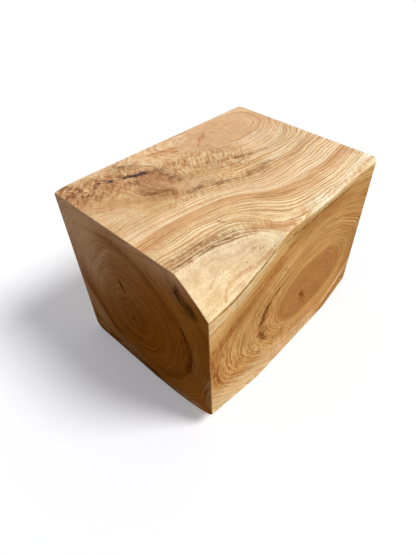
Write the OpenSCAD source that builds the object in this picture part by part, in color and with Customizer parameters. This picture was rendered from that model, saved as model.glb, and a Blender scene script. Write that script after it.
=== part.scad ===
// Solid wooden block, sawn from one short log and used as a low stool or side table.
// It is a single piece: six sawn faces, with the log's own rounded outside (the wane)
// left along three of the long edges where the saw found no wood.
//
// Frame: origin on the floor under the middle, +X along the grain, +Z up.
// The near long side faces -Y and the near end faces -X.

/* [Block] */
// Length of the block along the grain
block_l = 450; // [300:5:700]
// Width of the block across the grain
block_w = 330; // [220:5:500]
// Height of the block
block_h = 325; // [220:5:500]
// How much shorter the near long side is, because the far end is sawn out of square
end_skew = 7; // [0:1:20]

/* [Sawn edges] */
// Width of the easing sanded along every sawn edge
ease = 2; // [1:0.5:4]
// Width of the heavier easing that carries on from the top wane to the far end
top_ease = 3.5; // [1:0.5:8]
// Radius of the upright edge where the near long side meets the far end
near_far_r = 13; // [3:1:25]
// Radius of the upright edge where the back long side meets the far end
back_far_r = 8; // [3:1:25]
// Radius of the upright edge where the near long side meets the near end
near_near_r = 3; // [1:0.5:12]
// How far the back of the near end falls away across the width
back_fall = 8; // [3:1:16]
// How far along the grain that fall-away runs
back_fall_run = 55; // [20:5:90]

/* [Top wane] */
// Width of the top wane at the near end, measured on the top
top_wane_w = 57; // [15:1:90]
// Depth of the top wane at the near end, measured down the near long side
top_wane_d = 50; // [15:1:90]
// Length of the top wane along the grain, where it meets the top
top_wane_run = 186; // [80:2:260]
// Length of the top wane along the grain, where it meets the near long side
side_wane_run = 162; // [80:2:260]
// Roundness of the top wane across the grain, from 1 for flat to 2 for round
top_wane_round = 1.12; // [1:0.02:2]

/* [Bottom wane] */
// Width of the near bottom wane at the near end, measured under the block
low_wane_w = 150; // [30:1:160]
// Height of the near bottom wane at the near end
low_wane_h = 36; // [10:1:60]
// Length of the near bottom wane along the grain
low_wane_run = 128; // [60:2:180]
// Width of the far bottom wane at the far end, measured under the block
far_wane_w = 90; // [20:1:130]
// Height of the far bottom wane at the far end
far_wane_h = 32; // [6:1:50]
// Length of the far bottom wane along the grain
far_wane_run = 86; // [50:2:180]
// Size of the wane at the foot of the back, at the near end
back_wane = 15; // [4:1:40]
// Length of that back wane along the grain
back_wane_run = 150; // [60:2:220]
// Roundness of the bottom wanes across the grain, from 1 for flat to 2 for round
low_wane_round = 1.7; // [1:0.05:2]

/* [Cracks] */
// Length of the open crack beside the knot on top
crack_l = 40; // [10:1:80]
// Width of the crack at its middle
crack_w = 4.5; // [1:0.5:8]
// Depth of the crack
crack_depth = 14; // [4:1:40]
// Distance of the crack from the near end
crack_from_end = 115; // [40:1:220]
// Distance of the crack from the back long side
crack_from_back = 57; // [20:1:120]
// Turn of the crack from the grain
crack_turn = -21; // [-45:1:45]
// Width of the larger of the two pits between the crack and the corner
pit_w = 5; // [2:0.5:12]
// Depth of the larger pit
pit_depth = 6; // [2:1:20]
// Spacing of the pits, going on from the crack towards the corner
pit_step = 19; // [10:1:30]

/* [Hidden] */
wood = "burlywood";
// The wanes are lofted through this many sections, each with this many points
sections = 28;
arc_points = 8;
// How far cutters reach past the sawn faces
past = 5;
// How sharply each wane dies out along the grain
top_fade = 2.3;
side_fade = 2;
low_fade = 1.1;
// Number of points in a rounded upright edge
upright_points = 6;
// Points round the outline of a crack, and how ragged that outline is, as a share of its width
split_points = 17;
ragged = 0.3;
skew_angle = atan(end_skew / block_w);

// Points of an upright edge's rounding: an elliptic quarter that touches both faces.
// The corner is at c, and the rounding starts at c + from and ends at c + to.
function rounded_corner(c, from, to, n = upright_points) =
    [for (i = [0 : n]) c + from * (1 - sin(90 * i / n)) + to * (1 - cos(90 * i / n))];

// Unit vector along the far end's plane, from the near long side to the back
far_dir = [sin(skew_angle), cos(skew_angle)];

// Outline of the block seen from above
function plan_outline() = concat(
    rounded_corner([-block_l / 2, -block_w / 2], [0, near_near_r], [near_near_r, 0]),
    rounded_corner([block_l / 2 - end_skew, -block_w / 2], [-near_far_r, 0], near_far_r * far_dir),
    rounded_corner([block_l / 2, block_w / 2], -back_far_r * far_dir, [-back_far_r, 0]),
    rounded_corner([-block_l / 2, block_w / 2], [back_fall_run, 0], [0, -back_fall])
);

// What is left of a wane's full size at a distance from its end of the block
function left_at(full, dist, run, power) = dist >= run ? 0 : full * (1 - pow(dist / run, power));

// One section of a wane across the grain, as [in, down] pairs: in from the upright face
// and down from the level face, closed outside the block. Both sizes are over zero.
function wane_section(width, depth, roundness) = concat(
    [[-past, -past], [-past, depth]],
    [for (i = [0 : arc_points]) let (t = 90 * i / arc_points)
        [width * (1 - pow(cos(t), 2 / roundness)), depth * (1 - pow(sin(t), 2 / roundness))]],
    [[width, -past]]
);

// Places one point of a section at x, for the edge named by its side and level.
// side is -1 for the near long side and 1 for the back, level is 1 for the top, 0 for the foot.
function on_edge(x, q, side, level) = [
    x,
    side * (block_w / 2 - q[0]),
    level == 1 ? block_h - q[1] : q[1]
];

// Stations along the grain, closer together at both ends
function station(i) = -block_l / 2 - past + (block_l + 2 * past) * (1 - cos(180 * i / sections)) / 2;

// Cutter for one long edge: a solid lofted through a section at every station, where
// sizes holds the [width, depth] of each one
module edge_cutter(side, level, sizes, roundness) {
    rings = [for (i = [0 : sections])
        [for (q = wane_section(sizes[i][0], sizes[i][1], roundness)) on_edge(station(i), q, side, level)]];
    n = len(rings[0]);
    walls = [for (i = [0 : sections - 1]) for (j = [0 : n - 1]) let (k = (j + 1) % n)
        [i * n + j, i * n + k, (i + 1) * n + k, (i + 1) * n + j]];
    ends = [[for (j = [n - 1 : -1 : 0]) j], [for (j = [0 : n - 1]) sections * n + j]];
    faces = concat(walls, ends);
    // Mirroring a section turns its faces round, so those are turned back
    mirrored = side == (level == 1 ? -1 : 1);
    outward = mirrored ? [for (f = faces) [for (j = [len(f) - 1 : -1 : 0]) f[j]]] : faces;
    polyhedron(points = [for (ring = rings) for (q = ring) q], faces = outward, convexity = 6);
}

// Distance of a station from the two ends of the near long side, never below zero
function from_near(x) = max(0, x + block_l / 2);
function from_far(x) = max(0, block_l / 2 - end_skew - x);

// Each size below is the norm of the wane and the easing, so that one runs smoothly into
// the other and the cut never closes up.

// Wane along the near edge of the top, which runs on as a heavier easing to the far end
module top_near_wane() {
    sizes = [for (i = [0 : sections]) let (s = from_near(station(i))) [
        norm([left_at(top_wane_w, s, top_wane_run, top_fade), top_ease]),
        norm([left_at(top_wane_d, s, side_wane_run, side_fade), top_ease])
    ]];
    edge_cutter(-1, 1, sizes, top_wane_round);
}

// Wane at both ends of the near edge of the foot, with the easing between them
module low_near_wane() {
    sizes = [for (i = [0 : sections]) let (s = from_near(station(i)), e = from_far(station(i))) [
        norm([left_at(low_wane_w, s, low_wane_run, low_fade),
              left_at(far_wane_w, e, far_wane_run, low_fade), ease]),
        norm([left_at(low_wane_h, s, low_wane_run, low_fade),
              left_at(far_wane_h, e, far_wane_run, low_fade), ease])
    ]];
    edge_cutter(-1, 0, sizes, low_wane_round);
}

// Small wane at the near end of the back edge of the foot, with the easing after it
module low_back_wane() {
    sizes = [for (i = [0 : sections]) let (s = from_near(station(i)))
        [1, 1] * norm([left_at(back_wane, s, back_wane_run, low_fade), ease])];
    edge_cutter(1, 0, sizes, low_wane_round);
}

// Square bar on its edge, as long as given along Y, which takes the easing off a straight edge
module easing_bar(length) {
    side = ease * sqrt(2);
    rotate([0, 45, 0])
        cube([side, length + 2 * past, side], center = true);
}

// Easings of the top and the foot at both ends, and of the top's back edge
module sawn_easings() {
    for (z = [0, block_h]) {
        translate([-block_l / 2, 0, z])
            easing_bar(block_w);
        translate([block_l / 2 - end_skew / 2, 0, z])
            rotate([0, 0, -skew_angle])
                easing_bar(block_w);
    }
    translate([0, block_w / 2, block_h])
        rotate([0, 0, 90])
            easing_bar(block_l);
}

// Spindle-shaped opening with its middle at the origin, cut down from z = 0
module split(length, width, depth) {
    outline = [for (i = [0 : split_points - 1]) let (t = 360 * i / split_points) [
        length / 2 * cos(t),
        width / 2 * sin(t) * (1 - ragged * cos(3 * t)) + width * ragged * cos(2 * t)
    ]];
    translate([0, 0, -depth])
        linear_extrude(depth + past)
            polygon(outline);
}

// Crack beside the knot, and the two pits that lead from it to the corner
module knot_cracks() {
    translate([-block_l / 2 + crack_from_end, block_w / 2 - crack_from_back, block_h])
        rotate([0, 0, crack_turn]) {
            split(crack_l, crack_w, crack_depth);
            for (i = [1, 2])
                translate([-crack_l / 2 - pit_step * i, 0, 0])
                    split(2 * pit_w / i, pit_w / i, pit_depth / i);
        }
}

module block() {
    color(wood)
        difference() {
            linear_extrude(block_h)
                polygon(plan_outline());
            top_near_wane();
            low_near_wane();
            low_back_wane();
            sawn_easings();
            knot_cracks();
        }
}

block();
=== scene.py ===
# %% [markdown]
# A block of solid wood, sawn from one short log and used as a low stool or side table.
# Six faces are sawn and sanded. Along some of the long edges the saw found no wood, and
# there the log's own rounded outside is left: a maker calls that wane. The lesson builds
# the block's shape first, then its cracks and pinholes, then the growth of the tree, and
# last the finish that shows that growth.

# %% Load the frame
import math

import bmesh
import bpy
import numpy as np
from mathutils import Matrix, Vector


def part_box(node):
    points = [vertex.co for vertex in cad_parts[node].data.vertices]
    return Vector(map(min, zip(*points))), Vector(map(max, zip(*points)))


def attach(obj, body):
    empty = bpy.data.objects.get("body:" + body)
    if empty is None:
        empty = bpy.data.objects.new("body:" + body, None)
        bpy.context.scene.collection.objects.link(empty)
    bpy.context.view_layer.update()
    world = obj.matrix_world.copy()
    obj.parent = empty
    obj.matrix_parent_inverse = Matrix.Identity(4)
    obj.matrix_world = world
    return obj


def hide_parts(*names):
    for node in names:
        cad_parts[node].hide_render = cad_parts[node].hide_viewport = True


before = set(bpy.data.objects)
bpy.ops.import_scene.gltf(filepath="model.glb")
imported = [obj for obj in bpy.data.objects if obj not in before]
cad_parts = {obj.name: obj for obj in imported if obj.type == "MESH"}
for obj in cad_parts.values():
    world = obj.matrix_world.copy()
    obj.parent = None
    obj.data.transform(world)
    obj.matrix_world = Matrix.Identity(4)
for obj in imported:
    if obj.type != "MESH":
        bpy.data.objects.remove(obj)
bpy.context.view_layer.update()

LOW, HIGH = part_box("block")
LENGTH = HIGH[0] - LOW[0]
WIDTH = HIGH[1] - LOW[1]
HEIGHT = HIGH[2] - LOW[2]
MM = 0.001
MM_PER_METRE = 1000.0
print("block measures", [round(v / MM) for v in (LENGTH, WIDTH, HEIGHT)], "mm")

# %% [markdown]
# ## Short calls
# Objects, meshes and trees of nodes come up again and again, so each gets a short call.
# The class holds one tree, and serves the room, the floor, the pinholes and the wood: an
# input of a node is either linked to an output or set to a value.

# %% Objects, meshes and nodes


def add_object(name, data):
    """A new object at the origin, linked into the scene."""
    made = bpy.data.objects.new(name, data)
    bpy.context.collection.objects.link(made)
    return made


def mesh_of(name, points, faces):
    """A new mesh from its points and faces."""
    mesh = bpy.data.meshes.new(name)
    mesh.from_pydata(points, [], faces)
    return mesh


def read_vectors(mesh, what):
    """A row of x, y and z per point: its place ("co") or its outward direction ("normal")."""
    row = np.empty(len(mesh.vertices) * 3)
    mesh.vertices.foreach_get(what, row)
    return row.reshape(-1, 3)


class Nodes:
    """Short calls for the nodes of one tree."""

    def __init__(self, tree):
        self.tree = tree
        tree.nodes.clear()

    def put(self, socket, value):
        """Links a socket to an output, or sets a value on it."""
        if isinstance(value, bpy.types.NodeSocket):
            self.tree.links.new(value, socket)
        else:
            socket.default_value = value

    def node(self, kind, inputs=None, **settings):
        """A node with its settings, and with inputs filled by name or number."""
        made = self.tree.nodes.new(kind)
        for name, value in settings.items():
            setattr(made, name, value)
        for name, value in (inputs or {}).items():
            self.put(made.inputs[name], value)
        return made

    def math(self, operation, a, b=0.0, c=0.0, clamp=False):
        """The result of one operation on numbers."""
        inputs = {0: a, 1: b, 2: c}
        return self.node("ShaderNodeMath", inputs, operation=operation, use_clamp=clamp).outputs[0]


# %% [markdown]
# ## The camera
# The picture looks down on the block from beyond its near end, as someone standing beside
# it would. The frame is a cut from a larger picture, so the point that the lens looks at
# isn't the middle of the frame, and a small shift puts it back.

# %% Camera
PICTURE_W, PICTURE_H = 416, 555
LENS_MIDDLE = (232.0, 264.0)
FOCAL_PIXELS = 403.8
SENSOR = 36.0
EYE = (-0.4463, -0.3886, 0.6743)
LOOK_AZIMUTH, LOOK_DOWN, LOOK_ROLL = 49.87, 43.31, 1.14


def make_camera():
    """The camera at EYE, turned by its azimuth, its downward tilt and a slight roll."""
    data = bpy.data.cameras.new("camera")
    data.sensor_width = SENSOR
    data.lens = SENSOR * FOCAL_PIXELS / PICTURE_H
    data.shift_x = (PICTURE_W / 2 - LENS_MIDDLE[0]) / PICTURE_H
    data.shift_y = (LENS_MIDDLE[1] - PICTURE_H / 2) / PICTURE_H
    camera = add_object("camera", data)
    turn = Matrix.Rotation(math.radians(-LOOK_AZIMUTH), 4, "Z")
    tilt = Matrix.Rotation(math.radians(90 - LOOK_DOWN), 4, "X")
    roll = Matrix.Rotation(math.radians(LOOK_ROLL), 4, "Z")
    camera.matrix_world = Matrix.Translation(EYE) @ turn @ tilt @ roll
    return camera


bpy.context.scene.camera = make_camera()

# %% [markdown]
# ## Light and floor
# A broad lamp high on the right of the picture lights the top and the near long side and
# leaves the near end to the light of the room, which comes evenly from the sky. The floor
# is white: rays from the camera see it brighter than it is, so that it fades into the
# background, but it keeps the block's shadow.

# %% Light and floor
TO_LIGHT = (0.347, -0.487, 0.802)
LAMP_STRENGTH = 2.58
LAMP_SPREAD = 20.0
ROOM_STRENGTH = 0.38
FLOOR_SIZE = 40.0
FLOOR_COLOUR = (0.86, 0.86, 0.86, 1.0)
# What the camera sees on top of the floor's own light
FLOOR_GLOW = (0.97, 1.0, 1.12, 1.0)
GLOW_STRENGTH = 0.19
WHITE = (1.0, 1.0, 1.0, 1.0)


def make_lamp():
    """A sun whose disc is wide enough to give a soft shadow."""
    data = bpy.data.lights.new("lamp", "SUN")
    data.energy = LAMP_STRENGTH
    data.angle = math.radians(LAMP_SPREAD)
    lamp = add_object("lamp", data)
    x, y, z = TO_LIGHT
    lamp.rotation_euler = (0, math.atan2(math.hypot(x, y), z), math.atan2(y, x))


def make_room():
    """The world: even light, and plain white where the camera sees it."""
    world = bpy.data.worlds.new("room")
    world.use_nodes = True
    g = Nodes(world.node_tree)
    seen = g.node("ShaderNodeLightPath").outputs["Is Camera Ray"]
    light = g.node("ShaderNodeBackground", {"Strength": ROOM_STRENGTH})
    white = g.node("ShaderNodeBackground", {"Color": WHITE, "Strength": 1.0})
    mix = g.node("ShaderNodeMixShader", {0: seen, 1: light.outputs[0], 2: white.outputs[0]})
    g.node("ShaderNodeOutputWorld", {"Surface": mix.outputs[0]})
    bpy.context.scene.world = world


def make_floor():
    """A wide white floor under the block."""
    r = FLOOR_SIZE / 2
    corners = [(-r, -r, 0), (r, -r, 0), (r, r, 0), (-r, r, 0)]
    floor = add_object("floor", mesh_of("floor", corners, [(0, 1, 2, 3)]))
    material = bpy.data.materials.new("white_floor")
    material.use_nodes = True
    g = Nodes(material.node_tree)
    matt = g.node("ShaderNodeBsdfDiffuse", {"Color": FLOOR_COLOUR})
    seen = g.node("ShaderNodeLightPath").outputs["Is Camera Ray"]
    strength = g.math("MULTIPLY", seen, GLOW_STRENGTH)
    glow = g.node("ShaderNodeEmission", {"Color": FLOOR_GLOW, "Strength": strength})
    both = g.node("ShaderNodeAddShader", {0: matt.outputs[0], 1: glow.outputs[0]})
    g.node("ShaderNodeOutputMaterial", {"Surface": both.outputs[0]})
    floor.data.materials.append(material)


make_lamp()
make_room()
make_floor()
bpy.context.scene.view_settings.view_transform = "Standard"

# %% [markdown]
# ## The shape of the block
# A sawyer starts from a round log and takes off slabs until the faces are flat. Where the
# log was too thin, a curved patch of its outside stays. So the block is lofted: a section
# across the grain is worked out at each station along it, as four straight sides joined by
# four corner curves, and each corner curve is as large as the wane is at that station.
# Near both ends the sides draw in a little, which rounds the edges of the end faces.

# %% Sizes of the wanes and edges
EASE = 2 * MM
TOP_EASE = 3.5 * MM
END_SKEW = 7 * MM
# Upright edges: how far each side draws in at the end of the block, and over what length
NEAR_SIDE_AT_NEAR_END = (3 * MM, 3 * MM)
NEAR_SIDE_AT_FAR_END = (13 * MM, 13 * MM)
BACK_AT_NEAR_END = (8 * MM, 55 * MM)
BACK_AT_FAR_END = (8 * MM, 8 * MM)
# Wanes: full size at the end of the block, run along the grain, and how they die out
TOP_WANE_WIDTH = (57 * MM, 186 * MM, 2.3)
TOP_WANE_DEPTH = (50 * MM, 162 * MM, 2.0)
TOP_WANE_ROUND = 1.12
LOW_WANE_WIDTH = (150 * MM, 128 * MM, 1.1)
LOW_WANE_HEIGHT = (36 * MM, 128 * MM, 1.1)
FAR_WANE_WIDTH = (90 * MM, 86 * MM, 1.1)
FAR_WANE_HEIGHT = (32 * MM, 86 * MM, 1.1)
BACK_WANE = (15 * MM, 150 * MM, 1.1)
LOW_WANE_ROUND = 1.7


def left_at(wane, distance):
    """What is left of a wane's full size at a distance from its end of the block."""
    full, run, power = wane
    return full * max(0.0, 1 - (distance / run) ** power)


def draw_in(edge, distance):
    """How far a side draws in at a distance from the end: a quarter of an ellipse."""
    depth, run = edge
    gone = 1 - min(1.0, distance / run)
    return depth * (1 - math.sqrt(1 - gone * gone))


def corner_curve(width, depth, roundness, count):
    """Points from the upright face to the level face, as distances in and down."""
    t = np.linspace(0, math.pi / 2, count + 1)
    inward = width * (1 - np.cos(t) ** (2 / roundness))
    down = depth * (1 - np.sin(t) ** (2 / roundness))
    return np.stack([inward, down], axis=1)


# %% One section across the grain
# The corners in the order of the loop, each with the number of steps in its curve
CORNERS = {"top_near": 28, "top_back": 6, "low_back": 10, "low_near": 20}
STEPS_PER_QUARTER = 100


def corner_sizes(s):
    """Width, depth and roundness of each corner at a distance s from the near end."""
    # The wane at the far end starts from the near long side, which the skew makes shorter
    e = max(0.0, LENGTH - END_SKEW - s)
    back = math.hypot(left_at(BACK_WANE, s), EASE)
    return {
        "top_near": (math.hypot(left_at(TOP_WANE_WIDTH, s), TOP_EASE),
                     math.hypot(left_at(TOP_WANE_DEPTH, s), TOP_EASE), TOP_WANE_ROUND),
        "top_back": (EASE, EASE, LOW_WANE_ROUND),
        "low_back": (back, back, LOW_WANE_ROUND),
        "low_near": (math.hypot(left_at(LOW_WANE_WIDTH, s), left_at(FAR_WANE_WIDTH, e), EASE),
                     math.hypot(left_at(LOW_WANE_HEIGHT, s), left_at(FAR_WANE_HEIGHT, e), EASE),
                     LOW_WANE_ROUND),
    }


def section(s):
    """The loop of (y, z) points at a distance s from the near end, starting on the top."""
    far = max(0.0, LENGTH - s)
    rim = draw_in((EASE, EASE), s) + draw_in((EASE, EASE), far)
    near_y = LOW[1] + draw_in(NEAR_SIDE_AT_NEAR_END, s) + draw_in(NEAR_SIDE_AT_FAR_END, far)
    back_y = HIGH[1] - draw_in(BACK_AT_NEAR_END, s) - draw_in(BACK_AT_FAR_END, far)
    # Each face: its place, and which way the inside of the block is
    faces = {"near": (near_y, 1), "back": (back_y, -1),
             "low": (LOW[2] + rim, 1), "top": (HIGH[2] - rim, -1)}
    curves = []
    for name, (width, depth, roundness) in corner_sizes(s).items():
        level, side = name.split("_")
        y, inward = faces[side]
        z, inside = faces[level]
        curve = corner_curve(width, depth, roundness, CORNERS[name])
        curve = np.stack([y + inward * curve[:, 0], z + inside * curve[:, 1]], axis=1)
        # Two of the four curves are met from their level face, so those are turned round
        curves.append(curve[::-1] if name in ("top_back", "low_near") else curve)
    loop = []
    steps = list(CORNERS.values())
    for i, curve in enumerate(curves):
        k = (i + 1) % 4
        between = STEPS_PER_QUARTER - steps[i] // 2 - steps[k] // 2
        loop += [curve, np.linspace(curve[-1], curves[k][0], between + 1)[1:-1]]
    return np.concatenate(loop)


# %% [markdown]
# The stations are close together at the ends, where the edges are rounded. Each end is
# closed by a patch: a grid stretched between the four quarters of the last section.

# %% Stations and end patches
STATION_STEP = 3.4 * MM
EDGE_STATIONS = [0, 0.1, 0.3, 0.7, 1.3, 2, 3, 4.6, 6.6, 9, 13]


def stations():
    """Distances from the near end, close together at both ends."""
    edge = [v * MM for v in EDGE_STATIONS]
    count = round((LENGTH - 2 * edge[-1]) / STATION_STEP)
    middle = np.linspace(edge[-1], LENGTH - edge[-1], count + 1)
    return np.concatenate([edge[:-1], middle, [LENGTH - v for v in edge[-2::-1]]])


def placed(s, rows):
    """Points at station s. The far end is out of square, so x depends on y as well."""
    found = []
    for y, z in rows:
        short = END_SKEW * (HIGH[1] - y) / WIDTH
        found.append((LOW[0] + s * (LENGTH - short) / LENGTH, y, z))
    return found


def end_patch(loop):
    """Grid of points stretched between the quarters of a section, which start mid-corner."""
    n = STEPS_PER_QUARTER
    start = CORNERS["top_near"] // 2
    ring = np.roll(loop, -start, axis=0)
    ring = np.concatenate([ring, ring[:1]])
    top, back = ring[:n + 1], ring[n:2 * n + 1]
    low, near = ring[2 * n:3 * n + 1][::-1], ring[3 * n:4 * n + 1][::-1]
    u = np.linspace(0, 1, n + 1)[None, :, None]
    v = np.linspace(0, 1, n + 1)[:, None, None]
    across = top[None] * (1 - v) + low[None] * v
    down = near[:, None] * (1 - u) + back[:, None] * u
    bent = (top[0] * (1 - u) * (1 - v) + top[-1] * u * (1 - v)
            + low[0] * (1 - u) * v + low[-1] * u * v)
    return across + down - bent


# %% The block as one mesh
# Points closer than this are one point
WELD = 0.002 * MM


def ring_quads(rings, n):
    """Faces that join each ring of n points to the next one."""
    quads = []
    for i in range(rings - 1):
        for j in range(n):
            k = (j + 1) % n
            quads.append((i * n + j, i * n + k, (i + 1) * n + k, (i + 1) * n + j))
    return quads


def grid_quads(first, m):
    """Faces of a square grid, m points a side, whose points start at number first."""
    corners = [first + r * m + c for r in range(m - 1) for c in range(m - 1)]
    return [(a, a + 1, a + m + 1, a + m) for a in corners]


def block_mesh():
    """The whole block as one closed mesh of quads."""
    where = stations()
    loops = [section(s) for s in where]
    points = []
    for s, loop in zip(where, loops):
        points += placed(s, loop)
    faces = ring_quads(len(where), len(loops[0]))
    for end in (0, -1):
        quads = grid_quads(len(points), STEPS_PER_QUARTER + 1)
        # The near end's patch is turned over, so that it faces outward too
        faces += [quad[::-1] for quad in quads] if end == 0 else quads
        points += placed(where[end], end_patch(loops[end]).reshape(-1, 2))
    mesh = mesh_of("block", points, faces)
    work = bmesh.new()
    work.from_mesh(mesh)
    bmesh.ops.remove_doubles(work, verts=work.verts, dist=WELD)
    bmesh.ops.recalc_face_normals(work, faces=work.faces)
    work.to_mesh(mesh)
    work.free()
    return mesh


block = add_object("wood_block", block_mesh())
print("block mesh has", len(block.data.vertices), "points and", len(block.data.polygons), "faces")

# %% [markdown]
# The wane was never sawn, so it isn't quite even: the log's outside dips in soft hollows
# less than a millimetre deep. They are pressed into the points of the wane, always inward.

# %% Hollows of the wane
HOLLOW_DEPTH = 0.9 * MM
# Two pairs of crossing waves: their strength, then for each wave its lengths along x, y
# and z in millimetres per radian, and its phase
NO_WAVE = math.inf
HOLLOW_WAVES = [
    (1.0, [((21, 13, NO_WAVE), 0.6), ((-34, NO_WAVE, 17), 0.0)]),
    (0.6, [((9.5, NO_WAVE, -11), 2.0), ((NO_WAVE, 14, NO_WAVE), 1.1)]),
]
# Share of the depth where the waves are level, and how much the waves add to it
HOLLOW_LEVEL, HOLLOW_SWING = 0.5, 0.35
# The hollows reach their full depth this far from the near end
HOLLOW_START = 12 * MM
# A point belongs to the wane from this far inside its borders, and wholly after this more
WANE_START, WANE_BLEND = 0.2 * MM, 1.6 * MM


def wane_share(points):
    """How much each point belongs to the top wane: 0 on sawn faces, 1 inside the wane."""
    down = HIGH[2] - points[:, 2]
    inward = points[:, 1] - LOW[1]
    s = np.maximum(0.0, points[:, 0] - LOW[0])
    width = np.array([left_at(TOP_WANE_WIDTH, v) for v in s])
    depth = np.array([left_at(TOP_WANE_DEPTH, v) for v in s])
    within = (inward < width + TOP_EASE) & (down < depth + TOP_EASE)
    return within * np.clip((np.minimum(down, inward) - WANE_START) / WANE_BLEND, 0, 1)


def hollows(points):
    """Depth of the soft hollows at each point."""
    total = 0.0
    for strength, pair in HOLLOW_WAVES:
        wave = strength
        for lengths, phase in pair:
            wave = wave * np.sin((points / MM / lengths).sum(axis=1) + phase)
        total = total + wave
    return HOLLOW_DEPTH * np.clip(HOLLOW_LEVEL + HOLLOW_SWING * total, 0, 1)


def press_hollows(mesh):
    """Moves the points of the wane inward, square to the slope between its two borders."""
    points = read_vectors(mesh, "co")
    share = wane_share(points) ** 2 * np.clip((points[:, 0] - LOW[0]) / HOLLOW_START, 0, 1)
    depth = hollows(points) * share
    slanted = depth * math.sqrt(0.5)
    points[:, 1] += slanted
    points[:, 2] -= slanted
    mesh.vertices.foreach_set("co", points.ravel())
    mesh.update()
    return depth


pressed = press_hollows(block.data)
print("hollows of the wane go in by at most", round(pressed.max() / MM, 2), "mm")

# %% [markdown]
# ## The open crack
# Beside the knot on top, the wood pulled apart as it dried. The opening is ragged because
# it ran round the hard fibres of the knot. Two pits lie on the same line, towards the
# corner. Each opening is cut out with a wedge that has the ragged outline at its top and
# closes up as it goes down.

# %% Crack and pits
CRACK_MIDDLE = (-110 * MM, 108 * MM)
CRACK_TURN = math.radians(-21.0)
CRACK_LENGTH = 40 * MM
CRACK_DEPTH = 14 * MM
# Half-widths of the crack to its two sides, from one end of it to the other
CRACK_BACK = [0.3, 1.0, 1.5, 2.9, 2.4, 1.0, 1.2, 2.6, 5.2, 4.2, 1.2]
CRACK_FRONT = [0.3, 0.8, 1.4, 2.6, 2.8, 1.8, 2.0, 2.6, 2.4, 3.6, 1.4]
# Each pit's length, width and depth, and the corners and lopsidedness of both
PITS = [(10 * MM, 5 * MM, 6 * MM), (6 * MM, 3.4 * MM, 3 * MM)]
PIT_STEP = 19 * MM
PIT_CORNERS = 11
PIT_LOPSIDED = 0.22
# Height of each level of a wedge over the top, for the crack's depth, and its share of width
WEDGE_LEVELS = [(2.0, 1.0), (-0.5, 1.0), (-2.0, 0.86), (-5.0, 0.66), (-10.0, 0.45), (-14.0, 0.25)]


def wedge(name, middle, outline, depth):
    """A closed wedge under an outline, narrower at each level further down."""
    points = []
    n = len(outline)
    for level, share in WEDGE_LEVELS:
        z = HIGH[2] + level * MM * (depth / CRACK_DEPTH if level < 0 else 1)
        # An outline draws in half as fast along the crack as across it
        points += [(x * (0.5 + share / 2), y * share, z) for x, y in outline]
    # The rings go down here, so the quads between them are turned to face outward
    faces = [(b, a, d, c) for a, b, c, d in ring_quads(len(WEDGE_LEVELS), n)]
    faces.append(tuple(range(n)))
    faces.append(tuple(reversed(range((len(WEDGE_LEVELS) - 1) * n, len(WEDGE_LEVELS) * n))))
    mesh = mesh_of(name, points, faces)
    mesh.transform(Matrix.Translation((*middle, 0)) @ Matrix.Rotation(CRACK_TURN, 4, "Z"))
    return add_object(name, mesh)


def crack_outline():
    """Ragged outline of the crack, once round."""
    x = np.linspace(-CRACK_LENGTH / 2, CRACK_LENGTH / 2, len(CRACK_BACK))
    back = [(a, b * MM) for a, b in zip(x, CRACK_BACK)]
    front = [(a, -b * MM) for a, b in zip(x, CRACK_FRONT)]
    return front + back[::-1]


def pit_outline(length, width):
    """Lopsided oval with a few corners."""
    loop = []
    for i in range(PIT_CORNERS):
        t = 2 * math.pi * i / PIT_CORNERS
        rough = 1 + PIT_LOPSIDED * math.cos(3 * t + 0.8)
        loop.append((length / 2 * math.cos(t), width / 2 * math.sin(t) * rough))
    return loop


def opening_places():
    """Middle, outline and depth of the crack and of both pits."""
    found = [(CRACK_MIDDLE, crack_outline(), CRACK_DEPTH)]
    for i, (length, width, depth) in enumerate(PITS):
        back = CRACK_LENGTH / 2 + PIT_STEP * (i + 1)
        middle = (CRACK_MIDDLE[0] - back * math.cos(CRACK_TURN),
                  CRACK_MIDDLE[1] - back * math.sin(CRACK_TURN))
        found.append((middle, pit_outline(length, width), depth))
    return found


def baked(obj):
    """The object's mesh with its modifiers applied, which are then removed."""
    graph = bpy.context.evaluated_depsgraph_get()
    graph.update()
    old = obj.data
    obj.data = bpy.data.meshes.new_from_object(obj.evaluated_get(graph))
    obj.modifiers.clear()
    bpy.data.meshes.remove(old)


def cut_openings(obj):
    """Cuts the crack and the pits out of the block."""
    cutters = []
    for i, opening in enumerate(opening_places()):
        cutter = wedge("opening_%d" % i, *opening)
        cut = obj.modifiers.new(cutter.name, "BOOLEAN")
        cut.operation = "DIFFERENCE"
        cut.solver = "EXACT"
        cut.object = cutter
        cutters.append(cutter)
    baked(obj)
    for cutter in cutters:
        bpy.data.objects.remove(cutter)


cut_openings(block)
print("with the crack the block has", len(block.data.polygons), "faces")

# %% [markdown]
# ## Pinholes
# Small beetles bored into the wane before the log was sawn, and left round holes about
# 1 to 2 mm wide that go straight in. They repeat, so they are made with Geometry Nodes: the
# tree puts a drill at every marked place, turned along the surface's outward direction and
# a little wider or narrower than the next, and subtracts all the drills from the block.

# %% Places of the pinholes
# Given in millimetres; each is moved to the nearest point of the surface
PINHOLE_MARKS = [
    (-112.0, -144.0, 314.9), (-104.4, -150.2, 313.1), (-100.6, -152.4, 313.3),
    (-131.2, -149.2, 305.6), (-117.8, -165.0, 291.5), (-134.9, -165.0, 286.1),
    (-87.0, -161.5, 312.9),
]
HOLE_WIDTH = 1.4 * MM
HOLE_DEPTH = 5.0 * MM
# By what share a hole may be wider or narrower than that, and the seed of the choice
HOLE_SPREAD = 0.25
HOLE_SEED = 7
DRILL_SIDES, DRILL_RINGS = 14, 8


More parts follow.
